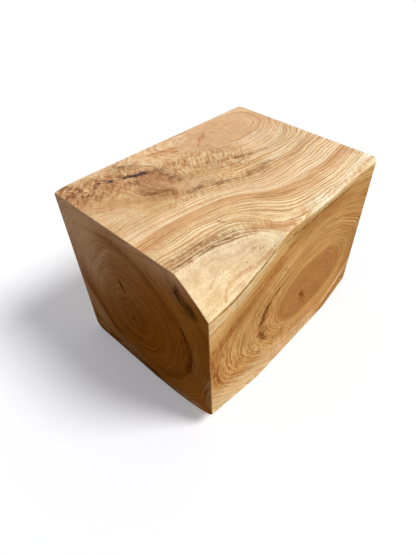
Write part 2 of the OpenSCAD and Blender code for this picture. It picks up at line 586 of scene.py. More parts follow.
def pinhole_places(obj):
    """A mesh with one point per pinhole and the surface's outward direction there."""
    places, outward = [], []
    for mark in PINHOLE_MARKS:
        _, place, normal, _ = obj.closest_point_on_mesh([v * MM for v in mark])
        places.append(place.copy())
        outward.append(normal.copy())
    mesh = mesh_of("pinhole_places", places, [])
    direction = mesh.attributes.new("outward", "FLOAT_VECTOR", "POINT")
    direction.data.foreach_set("vector", [v for normal in outward for v in normal])
    return add_object("pinhole_places", mesh), np.array(places), np.array(outward)


HOLE_MARKS, HOLE_PLACES, HOLE_OUTWARD = pinhole_places(block)
print("pinholes at x =", [round(float(x) / MM) for x in HOLE_PLACES[:, 0]], "mm")

# %% Wood material, empty until the block's shape is done
WOOD = bpy.data.materials.new("wood")
WOOD.use_nodes = True

# %% Geometry Nodes tree for the pinholes
# The tree's inputs besides the block itself: the kind of each, and the value it gets
PINHOLE_INPUTS = {
    "Places": ("Object", HOLE_MARKS),
    "Hole width": ("Float", HOLE_WIDTH),
    "Hole depth": ("Float", HOLE_DEPTH),
    "Width spread": ("Float", HOLE_SPREAD),
    "Seed": ("Int", HOLE_SEED),
    "Material": ("Material", WOOD),
}


def declare_sockets(tree):
    """Declares what goes into the tree, and the drilled block that comes out."""
    face = tree.interface
    face.new_socket("Geometry", in_out="INPUT", socket_type="NodeSocketGeometry")
    for name, (kind, value) in PINHOLE_INPUTS.items():
        face.new_socket(name, in_out="INPUT", socket_type="NodeSocket" + kind)
    face.new_socket("Geometry", in_out="OUTPUT", socket_type="NodeSocketGeometry")


def turned_drills(g, given):
    """One drill per place, turned outward and a little wider or narrower than the next."""
    places = g.node("GeometryNodeObjectInfo", {"Object": given["Places"]},
                    transform_space="RELATIVE")
    drill = g.node("GeometryNodeMeshCylinder", {
        "Vertices": DRILL_SIDES,
        "Side Segments": DRILL_RINGS,
        "Radius": g.math("MULTIPLY", given["Hole width"], 0.5),
        "Depth": g.math("MULTIPLY", given["Hole depth"], 2.0),
    }, fill_type="NGON")
    direction = g.node("GeometryNodeInputNamedAttribute", {"Name": "outward"},
                       data_type="FLOAT_VECTOR")
    turn = g.node("FunctionNodeAlignRotationToVector",
                  {"Vector": direction.outputs["Attribute"]}, axis="Z")
    width = g.node("FunctionNodeRandomValue", {
        "Min": g.math("SUBTRACT", 1.0, given["Width spread"]),
        "Max": g.math("ADD", 1.0, given["Width spread"]),
        "Seed": given["Seed"],
    }, data_type="FLOAT").outputs["Value"]
    scale = g.node("ShaderNodeCombineXYZ", {"X": width, "Y": width, "Z": 1.0})
    drills = g.node("GeometryNodeInstanceOnPoints", {
        "Points": places.outputs["Geometry"],
        "Instance": drill.outputs["Mesh"],
        "Rotation": turn.outputs["Rotation"],
        "Scale": scale.outputs[0],
    })
    return g.node("GeometryNodeRealizeInstances", {0: drills.outputs[0]}).outputs[0]


def pinhole_tree():
    """Tree that drills the block at every place, with its sizes as named inputs."""
    tree = bpy.data.node_groups.new("drill_pinholes", "GeometryNodeTree")
    declare_sockets(tree)
    g = Nodes(tree)
    given = g.node("NodeGroupInput").outputs
    cut = g.node("GeometryNodeMeshBoolean",
                 {"Mesh 1": given["Geometry"], "Mesh 2": turned_drills(g, given)},
                 operation="DIFFERENCE", solver="EXACT")
    coat = g.node("GeometryNodeSetMaterial",
                  {"Geometry": cut.outputs["Mesh"], "Material": given["Material"]})
    g.node("NodeGroupOutput", {0: coat.outputs[0]})
    return tree


def drill_pinholes(obj):
    """Gives the block the tree as a modifier with its inputs set, then keeps the result."""
    modifier = obj.modifiers.new("pinholes", "NODES")
    modifier.node_group = pinhole_tree()
    for item in modifier.node_group.interface.items_tree:
        if item.in_out == "INPUT" and item.name in PINHOLE_INPUTS:
            modifier[item.identifier] = PINHOLE_INPUTS[item.name][1]
    baked(obj)
    bpy.data.objects.remove(HOLE_MARKS)


drill_pinholes(block)
print("with the pinholes the block has", len(block.data.polygons), "faces")

# %% [markdown]
# ## How the tree grew
# Each year a tree adds one layer of wood, and every line on the block is such a layer cut
# across. The lines are drawn the way they would be traced from the real block: a few guide
# lines per face, each with the amount of growth (in millimetres from the middle of the
# tree or branch) that lies under it. A smooth field is then stretched through all guide
# points, over every face at once, so that the layers run on from face to face. The ovals
# on the top and on the near side are where branches left the trunk.

# %% Guide lines of growth
TOP_GROWTH = [
    (0, [(112, 114), (140, 117)]),
    (12, [(76, 114), (105, 101), (138, 101), (160, 110), (164, 120), (152, 131), (118, 132)]),
    (26, [(46, 118), (78, 90), (124, 83), (164, 86), (184, 102), (188, 121), (176, 138),
          (130, 145), (74, 140), (46, 118)]),
    (40, [(16, 130), (32, 106), (60, 78), (110, 66), (165, 70), (196, 88), (207, 118),
          (196, 144), (130, 154), (60, 151), (16, 130)]),
    (50, [(-20, 150), (0, 122), (16, 98), (40, 75), (60, 62), (85, 55), (110, 50), (140, 50),
          (170, 58), (195, 72), (215, 90)]),
    (50, [(-20, 150), (20, 158), (90, 162), (160, 162)]),
    (65, [(-68, 146), (-50, 124), (-28, 100), (0, 75), (30, 55), (60, 42), (100, 32),
          (150, 33), (200, 48), (220, 60)]),
    (80, [(80, 30), (110, 20), (150, 20), (180, 30), (220, 50)]),
    (98, [(-225, 40), (-165, 36)]),
    (98, [(-48, 46), (-25, 34), (0, 22)]),
    (84, [(-146, 84), (-146, 62), (-139, 46), (-127, 28), (-112, 14), (-94, 6)]),
    (68, [(-132, 84), (-131, 66), (-122, 50), (-110, 36), (-98, 22), (-86, 14)]),
    (52, [(-116, 84), (-114, 68), (-106, 56), (-99, 44), (-91, 30), (-82, 22)]),
    (36, [(-96, 92), (-99, 74), (-95, 60), (-89, 46), (-83, 34)]),
    (52, [(-84, 94), (-85, 76), (-80, 60), (-76, 46), (-74, 36)]),
    (68, [(-72, 94), (-71, 76), (-66, 60), (-66, 46), (-68, 34)]),
    (84, [(-60, 92), (-58, 74), (-55, 58), (-57, 44), (-62, 30)]),
    (115, [(-225, 15), (-120, 30), (-70, 30), (-40, 18), (25, -5), (60, -12), (100, -16),
           (150, -15), (220, -5)]),
    (135, [(-225, 4), (-150, 4), (-100, 1), (-60, -4), (-25, -14), (0, -26), (30, -36),
           (70, -38), (110, -38), (150, -36)]),
    (156, [(-225, -5), (-150, -8), (-110, -14), (-75, -20), (-50, -28), (-25, -35), (0, -45),
           (25, -55), (60, -58), (100, -58), (150, -56), (220, -48)]),
    (197, [(-225, -28), (-175, -27), (-125, -32), (-75, -42), (-50, -48), (-30, -58), (-12, -72),
           (0, -80), (25, -90), (60, -96), (100, -98), (150, -97), (220, -88)]),
    (230, [(-225, -52), (-175, -50), (-125, -52), (-100, -56), (-75, -62), (-50, -72), (-35, -85),
           (-20, -103), (0, -116), (25, -124), (60, -129), (100, -131), (150, -130), (220, -124)]),
    (244, [(-225, -60), (-150, -60), (-100, -66), (-75, -75), (-55, -85), (-40, -100),
           (-20, -122), (0, -133), (25, -138), (100, -142), (220, -138)]),
    (252, [(-225, -66), (-140, -66), (-95, -75), (-72, -85), (-58, -100), (-45, -118),
           (-25, -136), (0, -145), (50, -149), (100, -150)]),
    (260, [(-225, -74), (-130, -76), (-95, -86), (-75, -98), (-62, -115), (-50, -135),
           (-30, -150), (0, -155), (150, -158)]),
    (272, [(-225, -86), (-140, -88), (-105, -98), (-85, -112), (-72, -130), (-60, -150)]),
    (290, [(-225, -108), (-150, -108), (-110, -124), (-90, -142)]),
]
WANE_GROWTH = [
    (296, [(-225, 0.12), (-150, 0.14), (-90, 0.25)]),
    (300, [(-225, 0.5), (-150, 0.5), (-90, 0.5)]),
    (297, [(-225, 0.85), (-150, 0.85), (-90, 0.75)]),
]
SIDE_GROWTH = [
    (0, [(13, 137)]),
    (28, [(-22, 145), (-10, 168), (20, 174), (55, 168), (78, 148), (60, 122), (20, 108),
          (-12, 122)]),
    (55, [(-58, 150), (-30, 190), (0, 203), (40, 206), (80, 203), (110, 190), (135, 170),
          (148, 150), (150, 130), (135, 105), (110, 92), (60, 85), (20, 82), (-10, 90),
          (-35, 110), (-50, 130), (-58, 150)]),
    (78, [(-60, 104), (-75, 118), (-82, 140), (-75, 170), (-45, 203), (0, 225), (50, 228),
          (100, 215), (150, 190), (180, 160), (178, 118), (140, 78), (70, 66), (0, 68),
          (-40, 84), (-60, 104)]),
    (103, [(-85, 105), (-98, 122), (-105, 145), (-103, 165), (-95, 185), (-80, 203),
           (-62, 215), (0, 245), (60, 245), (120, 228), (170, 195), (205, 160)]),
    (103, [(-85, 105), (-62, 78), (-20, 54), (40, 46), (100, 50), (150, 66), (190, 96)]),
    (135, [(-100, 75), (-125, 95), (-140, 120), (-147, 150), (-140, 180), (-125, 205),
           (-100, 222), (-50, 250), (0, 268), (60, 270), (120, 258), (170, 235), (218, 205)]),
    (135, [(-100, 75), (-60, 44), (0, 25), (60, 18), (120, 24), (170, 52), (218, 92)]),
    (170, [(-165, 90), (-185, 115), (-195, 150), (-190, 180), (-175, 215), (-125, 240),
           (-75, 262), (-25, 280), (50, 288), (120, 278), (170, 262), (218, 240)]),
    (170, [(-165, 90), (-120, 52), (-70, 24), (-30, 6)]),
    (168, [(150, 6), (185, 28), (218, 56)]),
    (200, [(-225, 140), (-220, 190), (-175, 236), (-125, 256), (-75, 276), (-30, 292),
           (50, 299), (120, 292), (218, 262)]),
    (200, [(-225, 100), (-190, 66), (-150, 36), (-115, 14)]),
    (235, [(-225, 228), (-170, 254), (-125, 270), (-90, 284), (0, 309), (100, 310), (218, 285)]),
    (228, [(-225, 60), (-195, 40), (-165, 22)]),
    (262, [(-225, 262), (-170, 270), (-120, 290)]),
]
END_GROWTH = [
    (0, [(8, 145)]),
    (28, [(36, 148), (30, 172), (8, 180), (-14, 170), (-20, 146), (-12, 124), (8, 117),
          (28, 126)]),
    (62, [(72, 150), (62, 190), (34, 216), (0, 218), (-34, 206), (-54, 172), (-52, 128),
          (-34, 98), (6, 84), (44, 92), (64, 118)]),
    (98, [(108, 165), (92, 215), (60, 250), (10, 262), (-40, 250), (-78, 214), (-92, 165),
          (-84, 110), (-54, 68), (-6, 48), (44, 56), (72, 76), (92, 116)]),
    (133, [(142, 170), (128, 230), (85, 276), (45, 296), (0, 300), (-35, 290), (-70, 270),
           (-105, 235), (-123, 195), (-127, 150), (-118, 108), (-95, 66), (-50, 30), (0, 12),
           (50, 22), (80, 48), (100, 80), (126, 120)]),
    (165, [(160, 215), (120, 290), (-80, 310), (-128, 250), (-152, 195), (-156, 130),
           (-140, 70), (-104, 28), (110, 26), (150, 70)]),
]
FAR_END_GROWTH = [
    (0, [(-20, 170)]),
    (60, [(38, 176), (20, 218), (-20, 232), (-62, 214), (-80, 168), (-60, 122), (-18, 108),
          (24, 128)]),
    (120, [(100, 180), (70, 262), (-10, 296), (-96, 270), (-140, 180), (-110, 84), (-20, 46),
           (74, 84)]),
    (165, [(150, 160), (130, 280), (20, 322), (-150, 290), (-160, 60), (-60, 8), (110, 30)]),
]
GUIDE_STEP = 12.0


def spaced(line):
    """Points about GUIDE_STEP apart along a line, with its own points kept."""
    line = np.array(line, float)
    found = [line[:1]]
    for a, b in zip(line[:-1], line[1:]):
        n = max(1, round(float(np.linalg.norm(b - a)) / GUIDE_STEP))
        found.append(a + (b - a) * np.linspace(0, 1, n + 1)[1:, None])
    return np.concatenate(found)


def guide_points(lines, lift):
    """All guide points of one face, each as its place and its growth, in millimetres."""
    rows = []
    for growth, line in lines:
        for u, v in spaced(line):
            rows.append((*lift(u, v), growth))
    return rows


# Each of these lifts a place drawn on one face to its point on the block, in millimetres
def on_top(x, y):
    return x, y, HIGH[2] / MM


def on_side(x, z):
    return x, LOW[1] / MM, z


def on_near_end(y, z):
    return LOW[0] / MM, y, z


def on_plane(u, v):
    return u, v


def on_wane(x, share):
    """A point of the wane, from its border on the top (share 0) to that on the side (1)."""
    s = max(0.0, x * MM - LOW[0])
    turn = (1 - share) * math.pi / 2
    width, depth = left_at(TOP_WANE_WIDTH, s) / MM, left_at(TOP_WANE_DEPTH, s) / MM
    inward = width * (1 - math.cos(turn) ** (2 / TOP_WANE_ROUND))
    down = depth * (1 - math.sin(turn) ** (2 / TOP_WANE_ROUND))
    return x, LOW[1] / MM + inward, HIGH[2] / MM - down


# %% Growth on the hidden faces
# All in millimetres. The back: growth at the top, its rise per millimetre down, and a wave
# with its height and its two lengths
TOP_MM, NEAR_MM = round(HIGH[2] / MM), round(LOW[1] / MM)
BACK_START, BACK_RISE = 62, 0.72
BACK_WAVE = (9, 70, 160)
# The branch on the top reaches the back: its dip, its middle, and its reach along and down
BRANCH_DIP, BRANCH_MIDDLE = 20, 115
BRANCH_REACH = (75, 85)
# The foot: growth at the near edge, its rise across, a bowl along the grain, and a wave
FOOT_START, FOOT_RISE = 158, 0.40
FOOT_BOWL, BOWL_MIDDLE, BOWL_REACH = 60, 50, 250
FOOT_WAVE = (8, 80, 110)


def hidden_guides():
    """Growth on the back and the foot, which no picture shows: plain, gently waved lines."""
    rows = []
    for x in range(-225, 226, 30):
        for z in range(20, 300, 35):
            high, along, across = BACK_WAVE
            wave = high * math.sin(x / along + z / across)
            beside = -((x - BRANCH_MIDDLE) / BRANCH_REACH[0]) ** 2
            branch = BRANCH_DIP * math.exp(beside - ((TOP_MM - z) / BRANCH_REACH[1]) ** 2)
            grown = BACK_START + BACK_RISE * (TOP_MM - z) + wave - branch
            rows.append((x, HIGH[1] / MM, z, grown))
        for y in range(-150, 151, 35):
            high, along, across = FOOT_WAVE
            wave = high * math.sin(x / along - y / across)
            bowl = FOOT_START + FOOT_BOWL * ((x - BOWL_MIDDLE) / BOWL_REACH) ** 2
            rows.append((x, y, 0.0, bowl + FOOT_RISE * (y - NEAR_MM) + wave))
    return rows


# %% The smooth field through the guides
FIELD_SOFTNESS = 14.0
FIELD_SLACK = 1.5
POINTS_AT_ONCE = 4000


def stretch_field(guides, points):
    """Smooth field through the guides: soft cones on a tilted plane, solved together."""
    guides = np.array(guides, float)
    centres, values = guides[:, :-1], guides[:, -1]
    n, k = centres.shape
    apart = np.linalg.norm(centres[:, None] - centres[None], axis=2)
    system = np.zeros((n + k + 1, n + k + 1))
    system[:n, :n] = -np.sqrt(apart ** 2 + FIELD_SOFTNESS ** 2) + FIELD_SLACK * np.eye(n)
    system[:n, n] = system[n, :n] = 1
    system[:n, n + 1:] = centres
    system[n + 1:, :n] = centres.T
    solved = np.linalg.solve(system, np.concatenate([values, np.zeros(k + 1)]))
    field = np.empty(len(points))
    for i in range(0, len(points), POINTS_AT_ONCE):
        some = points[i:i + POINTS_AT_ONCE]
        d = np.linalg.norm(some[:, None] - centres[None], axis=2)
        cones = -np.sqrt(d ** 2 + FIELD_SOFTNESS ** 2) @ solved[:n]
        field[i:i + POINTS_AT_ONCE] = cones + solved[n] + some @ solved[n + 1:]
    return field


# %% Swirls around the knots: middle on the top, reach and strength, in millimetres
SWIRLS = [(-124, 88, 9, 9), (-70, 104, 9, -10), (-42, 84, 12, 13), (-18, 74, 9, -10),
          (12, 56, 10, 9), (34, 40, 8, -7)]
BURL_LOW, BURL_HIGH = (-225, 88), (-84, 168)
BURL_EYES = 70
BURL_REACH = (5.0, 11.0)
BURL_STRENGTH = (2.5, 7.0)
BURL_SEED = 11


def burl_eyes():
    """Many small swirls in the corner behind the knot, the same ones every time."""
    chance = np.random.default_rng(BURL_SEED)
    eyes = []
    for i in range(BURL_EYES):
        x, y = chance.uniform(BURL_LOW, BURL_HIGH)
        reach = chance.uniform(*BURL_REACH)
        strength = chance.uniform(*BURL_STRENGTH) * chance.choice([-1, 1])
        eyes.append((x, y, reach, strength))
    return eyes


def swirl_field(points):
    """How much the swirls bend the growth at each point."""
    bend = np.zeros(len(points))
    for x, y, reach, strength in SWIRLS + burl_eyes():
        gap = np.linalg.norm(points - np.array(on_top(x, y)), axis=1)
        bend += strength * np.exp(-(gap / reach) ** 2)
    return bend


# %% Growth at every point of the block
POINTS = read_vectors(block.data, "co")
POINTS_MM = POINTS / MM
NORMALS = read_vectors(block.data, "normal")
# How far a surface has turned towards a face where it starts to count and where it fully does
END_TURN = (0.35, 0.8)
SIDE_TURN = (0.55, 0.95)
FOOT_TURN = (0.3, 0.8)
FIELD_NAMES = []


def save_field(name, values):
    """Keeps one number per point on the mesh, for the material to read."""
    layer = block.data.attributes.new(name, "FLOAT", "POINT")
    layer.data.foreach_set("value", np.asarray(values, np.float32))
    FIELD_NAMES.append(name)


def smooth_step(values, low, high):
    """0 below low, 1 above high and a smooth step between them."""
    t = np.clip((values - low) / (high - low), 0, 1)
    return t * t * (3 - 2 * t)


long_guides = guide_points(TOP_GROWTH, on_top) + guide_points(SIDE_GROWTH, on_side)
long_guides += guide_points(WANE_GROWTH, on_wane) + hidden_guides()
growth = stretch_field(long_guides, POINTS_MM) + swirl_field(POINTS_MM)
near_end = stretch_field(guide_points(END_GROWTH, on_plane), POINTS_MM[:, 1:])
far_end = stretch_field(guide_points(FAR_END_GROWTH, on_plane), POINTS_MM[:, 1:])
end_share = smooth_step(np.abs(NORMALS[:, 0]), *END_TURN)
side_share = smooth_step(-NORMALS[:, 1], *SIDE_TURN) + smooth_step(-NORMALS[:, 2], *FOOT_TURN)
save_field("growth", growth)
save_field("end_growth", np.where(POINTS[:, 0] < 0, near_end, far_end))
save_field("end_face", end_share)
save_field("side_face", side_share)
save_field("wane", smooth_step(wane_share(POINTS), 0.0, 1.0) * (1 - end_share))
print(len(long_guides), "guide points; growth runs from", round(growth.min()),
      "to", round(growth.max()), "mm")

# %% [markdown]
# ## Marks in the wood
# The knots, the brown streaks beside them, the stain under the wane and the paler sapwood
# belong to this one block; in the upper corner of the near end the sapwood is also a painted
# sheen. Other strokes are painted shade: beside two upright edges, and in the crack, the pits
# and a groove under the wane. Each is a soft stroke: a line on a face, with a width and a
# strength. The material makes their edges follow the fibres.

# %% Strokes on the top: width in millimetres, strength, and a line of points on the face
TOP_DARK = [
    (10, 0.26, [(-139, 66), (-133, 50), (-125, 38)]),
    (12, 0.24, [(-122, 52), (-112, 36), (-102, 20)]),
    (10, 0.20, [(-104, 34), (-94, 14)]),
    (20, 0.20, [(-118, 88), (-110, 52)]),
    (14, 0.20, [(-76, 96), (-72, 50)]),
    (8, 0.42, [(-128, 92), (-118, 84)]),
    (10, 0.24, [(-80, 84), (-76, 62)]),
    (8, 0.26, [(-66, 68), (-64, 52), (-68, 40)]),
    (6, 0.34, [(-78, 58), (-75, 42)]),
    (28, 0.24, [(-215, 150), (-160, 140)]),
    (24, 0.22, [(-225, 112), (-160, 104)]),
    (14, 0.16, [(-120, 136), (-96, 130)]),
    (7, 0.62, [(-222, 130), (-208, 128), (-196, 133)]),
    (5, 0.60, [(-206, 160), (-201, 146)]),
    (6, 0.50, [(-224, 150), (-212, 156)]),
    (5, 0.55, [(-170, 126), (-160, 131)]),
    (6, 0.45, [(-152, 126), (-148, 118)]),
    (5, 0.45, [(-200, 112), (-190, 106)]),
    (8, 0.34, [(-116, 152), (-100, 134), (-88, 122)]),
    (10, 0.38, [(-80, 6), (-50, 0), (-25, -12)]),
    (6, 0.45, [(-84, 7), (-74, 3), (-62, 4)]),
    (8, 0.42, [(-34, -10), (0, -24), (22, -32)]),
    (9, 0.42, [(26, -28), (50, -32)]),
    (7, 0.40, [(56, -24), (80, -28)]),
    (6, 0.34, [(40, -42), (62, -38)]),
    (7, 0.26, [(84, -36), (112, -42), (146, -47)]),
    (3, 0.34, [(4, 99), (30, 78), (60, 63), (92, 56)]),
    (3, 0.52, [(-46, 140), (-20, 131)]),
    (3, 0.52, [(-30, 123), (-6, 115)]),
    (3.5, 0.95, [(44, 23), (58, 20), (76, 13)]),
    (4, 0.60, [(76, 13), (112, 5)]),
    (7, 0.75, [(-130, 118), (-110, 106), (-90, 100)]),
    (9, 0.40, [(-88, 100), (-66, 88)]),
    (14, 0.16, [(-44, 84), (-12, 78)]),
    (13, 0.16, [(4, 62), (32, 40)]),
    (14, 0.25, [(20, 100), (50, 90)]),
    (2.5, 0.8, [(-109, -77), (-104, -88)]),
    (2.5, 0.6, [(-86, -106), (-82, -111)]),
    (22, 0.24, [(-60, -76), (-20, -90), (10, -104)]),
    (9, 0.26, [(-225, -101), (-190, -103), (-142, -111), (-102, -124), (-75, -136)]),
    (13, 0.22, [(-225, -84), (-170, -84), (-120, -92)]),
    (2.2, 0.50, [(-222, -92), (-180, -92), (-140, -97), (-112, -108)]),
    (2.2, 0.50, [(-215, -104), (-170, -105), (-140, -110), (-115, -120)]),
]
TOP_RED = [
    (38, 0.50, [(-215, 140), (-150, 122)]),
    (15, 0.55, [(-225, -86), (-165, -88), (-140, -92)]),
    (24, 0.45, [(-210, 104), (-120, 96)]),
    (20, 0.62, [(-124, 66), (-106, 32)]),
    (18, 0.60, [(-94, 90), (-78, 54)]),
    (20, 0.40, [(-170, 62), (-140, 30)]),
    (5, 0.95, [(-50, 141), (-25, 133), (0, 125)]),
    (4, 0.8, [(-46, 128), (-25, 122), (-4, 115)]),
    (6, 0.5, [(-42, 135), (-20, 128)]),
    (3, 0.7, [(28, 98), (45, 111), (55, 120), (80, 132)]),
    (3, 0.6, [(50, 113), (70, 120)]),
    (10, 0.62, [(-225, -99), (-160, -103), (-112, -117), (-92, -128)]),
    (10, 0.8, [(-84, -130), (-66, -142), (-50, -158)]),
    (8, 0.5, [(-50, -160), (-20, -150), (20, -156)]),
    (12, 0.4, [(-222, -58), (-200, -56)]),
    (8, 0.4, [(60, -155), (120, -152), (200, -150)]),
    (14, 0.3, [(150, -30), (205, -25)]),
]
TOP_PALE = [
    (2, 0.45, [(-92, 86), (-99, 72), (-95, 59), (-89, 46), (-86, 32)]),
    (9, 0.50, [(-130, -80), (-110, -88), (-96, -104)]),
    (16, 0.35, [(-90, 150), (-56, 100)]),
    (14, 0.35, [(-30, 150), (0, 145)]),
    (28, 0.80, [(-222, 62), (-190, 24)]),
    (8, 0.45, [(-60, 28), (-20, 10)]),
    (36, 0.82, [(110, 10), (225, 16)]),
    (34, 0.76, [(110, -34), (225, -32)]),
    (15, 0.84, [(10, -158), (80, -156), (215, -150)]),
    (18, 0.50, [(100, -122), (222, -118)]),
    (18, 0.50, [(10, 142), (40, 150)]),
    (20, 0.70, [(46, 8), (88, 4)]),
    (3, 0.55, [(73, 59), (92, 57), (125, 57), (142, 59), (168, 68), (212, 86)]),
    (3, 0.55, [(68, 53), (95, 47), (125, 43), (152, 45), (175, 52), (218, 74)]),
    (3, 0.45, [(75, 37), (108, 29), (135, 28)]),
]
print(len(TOP_DARK + TOP_RED + TOP_PALE), "strokes on the top")

# %% Strokes on the near side and the wane
SIDE_DARK = [
    (7, 0.85, [(-103, 166), (-100, 178), (-93, 189)]),
    (6, 0.70, [(-92, 192), (-80, 203), (-64, 213)]),
    (5, 0.40, [(-108, 164), (-108, 138)]),
    (6, 0.75, [(-108, 137), (-98, 128)]),
    (5, 0.65, [(-102, 124), (-94, 112)]),
    (4, 0.55, [(-96, 132), (-86, 136)]),
    (4, 0.50, [(-102, 150), (-90, 144)]),
    (4, 0.50, [(-100, 172), (-86, 164)]),
    (5, 0.50, [(-94, 118), (-86, 106)]),
    (5, 0.50, [(-110, 92), (-102, 84)]),
    (5, 0.45, [(-64, 82), (-50, 88), (-38, 82)]),
    (5, 0.40, [(-44, 78), (-30, 72)]),
    (4, 0.36, [(-56, 250), (-46, 240), (-40, 230)]),
    (3.4, 0.64, [(16, 134), (22, 123)]),
    (3, 0.36, [(8, 141), (15, 135)]),
    (3, 0.34, [(24, 110), (28, 103)]),
    (10, 0.25, [(8, 140), (26, 116)]),
    (4, 0.45, [(27, 108), (30, 101)]),
    (4, 0.20, [(8, 150), (14, 144)]),
    (9, 0.30, [(-48, 176), (-54, 150), (-44, 126), (-30, 108)]),
    (3, 0.7, [(-62, 304), (-36, 310)]),
    (3, 0.6, [(-52, 292), (-36, 290)]),
    (3, 0.7, [(-30, 304), (50, 309), (100, 308), (150, 312)]),
    (3, 0.5, [(150, 302), (215, 290)]),
    (8, 0.30, [(-216, 203), (-170, 226), (-120, 246), (-80, 262)]),
    (8, 0.38, [(-222, 180), (-214, 140), (-200, 104)]),
    (5, 0.40, [(-190, 196), (-182, 168)]),
    (5, 0.35, [(-176, 130), (-162, 104)]),
    (5, 0.35, [(-150, 180), (-150, 150)]),
    (4, 0.35, [(-140, 110), (-126, 92)]),
    (8, 0.3, [(160, 88), (178, 104)]),
    (12, 0.5, [(112, 10), (150, 28), (215, 58)]),
    (10, 0.36, [(-222, 92), (-180, 84), (-150, 66), (-120, 58)]),
]
SIDE_RED = [
    (24, 0.28, [(20, 120), (60, 126)]),
    (18, 0.60, [(-214, 190), (-210, 120)]),
    (12, 0.40, [(-190, 100), (-160, 84)]),
    (12, 0.20, [(80, 106), (110, 110)]),
    (10, 0.35, [(-8, 160), (30, 168)]),
    (9, 0.55, [(12, 140), (27, 112)]),
    (9, 0.50, [(-206, 206), (-170, 224), (-120, 242), (-70, 262)]),
    (4, 0.72, [(-176, 219), (-130, 241), (-84, 261), (-56, 271)]),
    (3, 0.70, [(-210, 196), (-180, 210), (-150, 224), (-110, 240)]),
    (3, 0.66, [(-134, 252), (-98, 266), (-60, 280)]),
    (6, 0.40, [(-50, 268), (10, 286), (90, 292)]),
    (9, 0.34, [(30, 302), (110, 303)]),
    (4, 0.32, [(128, 215), (145, 202), (158, 182), (160, 164)]),
]
SIDE_PALE = [
    (12, 0.42, [(-222, 260), (-176, 264), (-130, 280), (-90, 300)]),
    (28, 0.78, [(-225, 80), (-176, 60), (-120, 48)]),
    (28, 0.95, [(-225, 40), (-150, 22), (-90, 12)]),
    (24, 0.84, [(-110, 22), (-44, 12)]),
    (20, 0.72, [(-44, 12), (74, 5)]),
    (26, 0.26, [(-70, 60), (40, 46), (80, 30)]),
    (7, 0.6, [(112, 22), (140, 40), (172, 64), (215, 98)]),
    (3, 0.36, [(-146, 160), (-142, 130), (-130, 108)]),
    (3, 0.36, [(-128, 170), (-128, 130), (-118, 104), (-96, 80)]),
    (3, 0.24, [(-92, 150), (-90, 128), (-76, 104)]),
    (12, 0.20, [(-60, 240), (-20, 262)]),
    (3, 0.24, [(-70, 150), (-64, 120), (-44, 98)]),
]
WANE_RED = [
    (3.2, 0.95, [(-186, 0.80), (-178, 0.68), (-164, 0.65), (-148, 0.65), (-128, 0.71),
                 (-107, 0.78), (-92, 0.82)]),
    (9, 0.30, [(-160, 0.85), (-120, 0.92)]),
    (26, 0.14, [(-225, 0.02), (-160, 0.08), (-110, 0.25)]),
]
print(len(SIDE_DARK + SIDE_RED + SIDE_PALE + WANE_RED), "strokes on the near side and the wane")

# %% Near end, sapwood with painted sheen, stain, and painted shade in crack, pits and groove
END_DARK = [
    (5.5, 0.66, [(-116, 116), (-123, 140), (-127, 165), (-126, 186), (-117, 206), (-110, 216)]),
    (4, 0.45, [(-111, 130), (-113, 160), (-109, 195)]),
    (4, 0.35, [(-104, 226), (-92, 244)]),
    (6, 0.36, [(58, 298), (20, 301), (-10, 297)]),
    (8, 0.20, [(32, 25), (-22, 35), (-68, 62), (-102, 95), (-117, 118)]),
    (6, 0.40, [(124, 138), (112, 112)]),
    (3, 0.45, [(151, 203), (145, 190)]),
    (6, 0.6, [(108, 104), (100, 84), (84, 66), (68, 58)]),
    (5, 0.45, [(60, 104), (30, 92), (0, 94)]),
    (3.5, 0.9, [(28, 222), (24, 212)]),
    (3.5, 0.8, [(23, 209), (19, 202)]),
    (4, 0.6, [(12, 146), (4, 140)]),
    (4, 0.4, [(26, 152), (30, 140), (20, 128)]),
    (4, 0.45, [(143, 142), (136, 132)]),
    (6, 0.45, [(40, 26), (0, 13), (-40, 20)]),
    (24, 0.18, [(-60, 40), (-130, 90)]),
]
# Painted shade at the mouths of the crack and the pits on the top
TOP_CRACK_SHADE = [
    (2.4, 0.85, [(-118, 109), (-106, 101), (-98, 105)]),
    (1.8, 0.75, [(-130, 114), (-118, 110)]),
    (2.2, 0.75, [(-99, 104), (-96, 110)]),
    (2.0, 0.7, [(-98, 103), (-94, 98)]),
    (2.4, 0.8, [(-152, 124), (-147, 119)]),
    (1.8, 0.6, [(-168, 128), (-161, 131)]),
]
END_STAIN = [
    (7, 0.55, [(-110, 300), (-114, 286)]),
    (8, 0.75, [(-128, 280), (-138, 268)]),
    (20, 0.34, [(-96, 305), (-128, 262)]),
]
# Paler sapwood on the near end. The first six strokes pale its upper corner towards the back:
# sapwood there, and a painted sheen as well
END_SAPWOOD_AND_SHEEN = [
    (58, 0.90, [(165, 330), (165, 262)]),
    (46, 0.74, [(118, 330), (112, 290), (136, 220)]),
    (24, 0.34, [(112, 318), (82, 312)]),
    (34, 0.64, [(60, 330), (-20, 330), (-100, 326)]),
    (84, 0.38, [(118, 300), (118, 220)]),
    (50, 0.12, [(90, 262), (10, 258)]),
    (22, 0.22, [(120, 34), (30, 20)]),
    (16, 0.32, [(165, 170), (165, 110)]),
    (22, 0.38, [(165, 112), (142, 88), (125, 66)]),
    (10, 0.30, [(-163, 60), (-164, 130)]),
    (14, 0.35, [(-130, 24), (-60, 5)]),
    (4, 0.12, [(-134, 130), (-137, 160), (-134, 190)]),
]
# Painted shade of a groove: a dark line where the wane meets the near side
GROOVE_SHADE = [(2.2, 0.9, [(-205, 274), (-188, 273.5), (-173, 275.5), (-158, 280.5), (-138, 288),
                      (-116, 295.5), (-103, 301.5), (-88, 309)])]
print(len(END_DARK + END_STAIN + END_SAPWOOD_AND_SHEEN), "strokes on the near end")
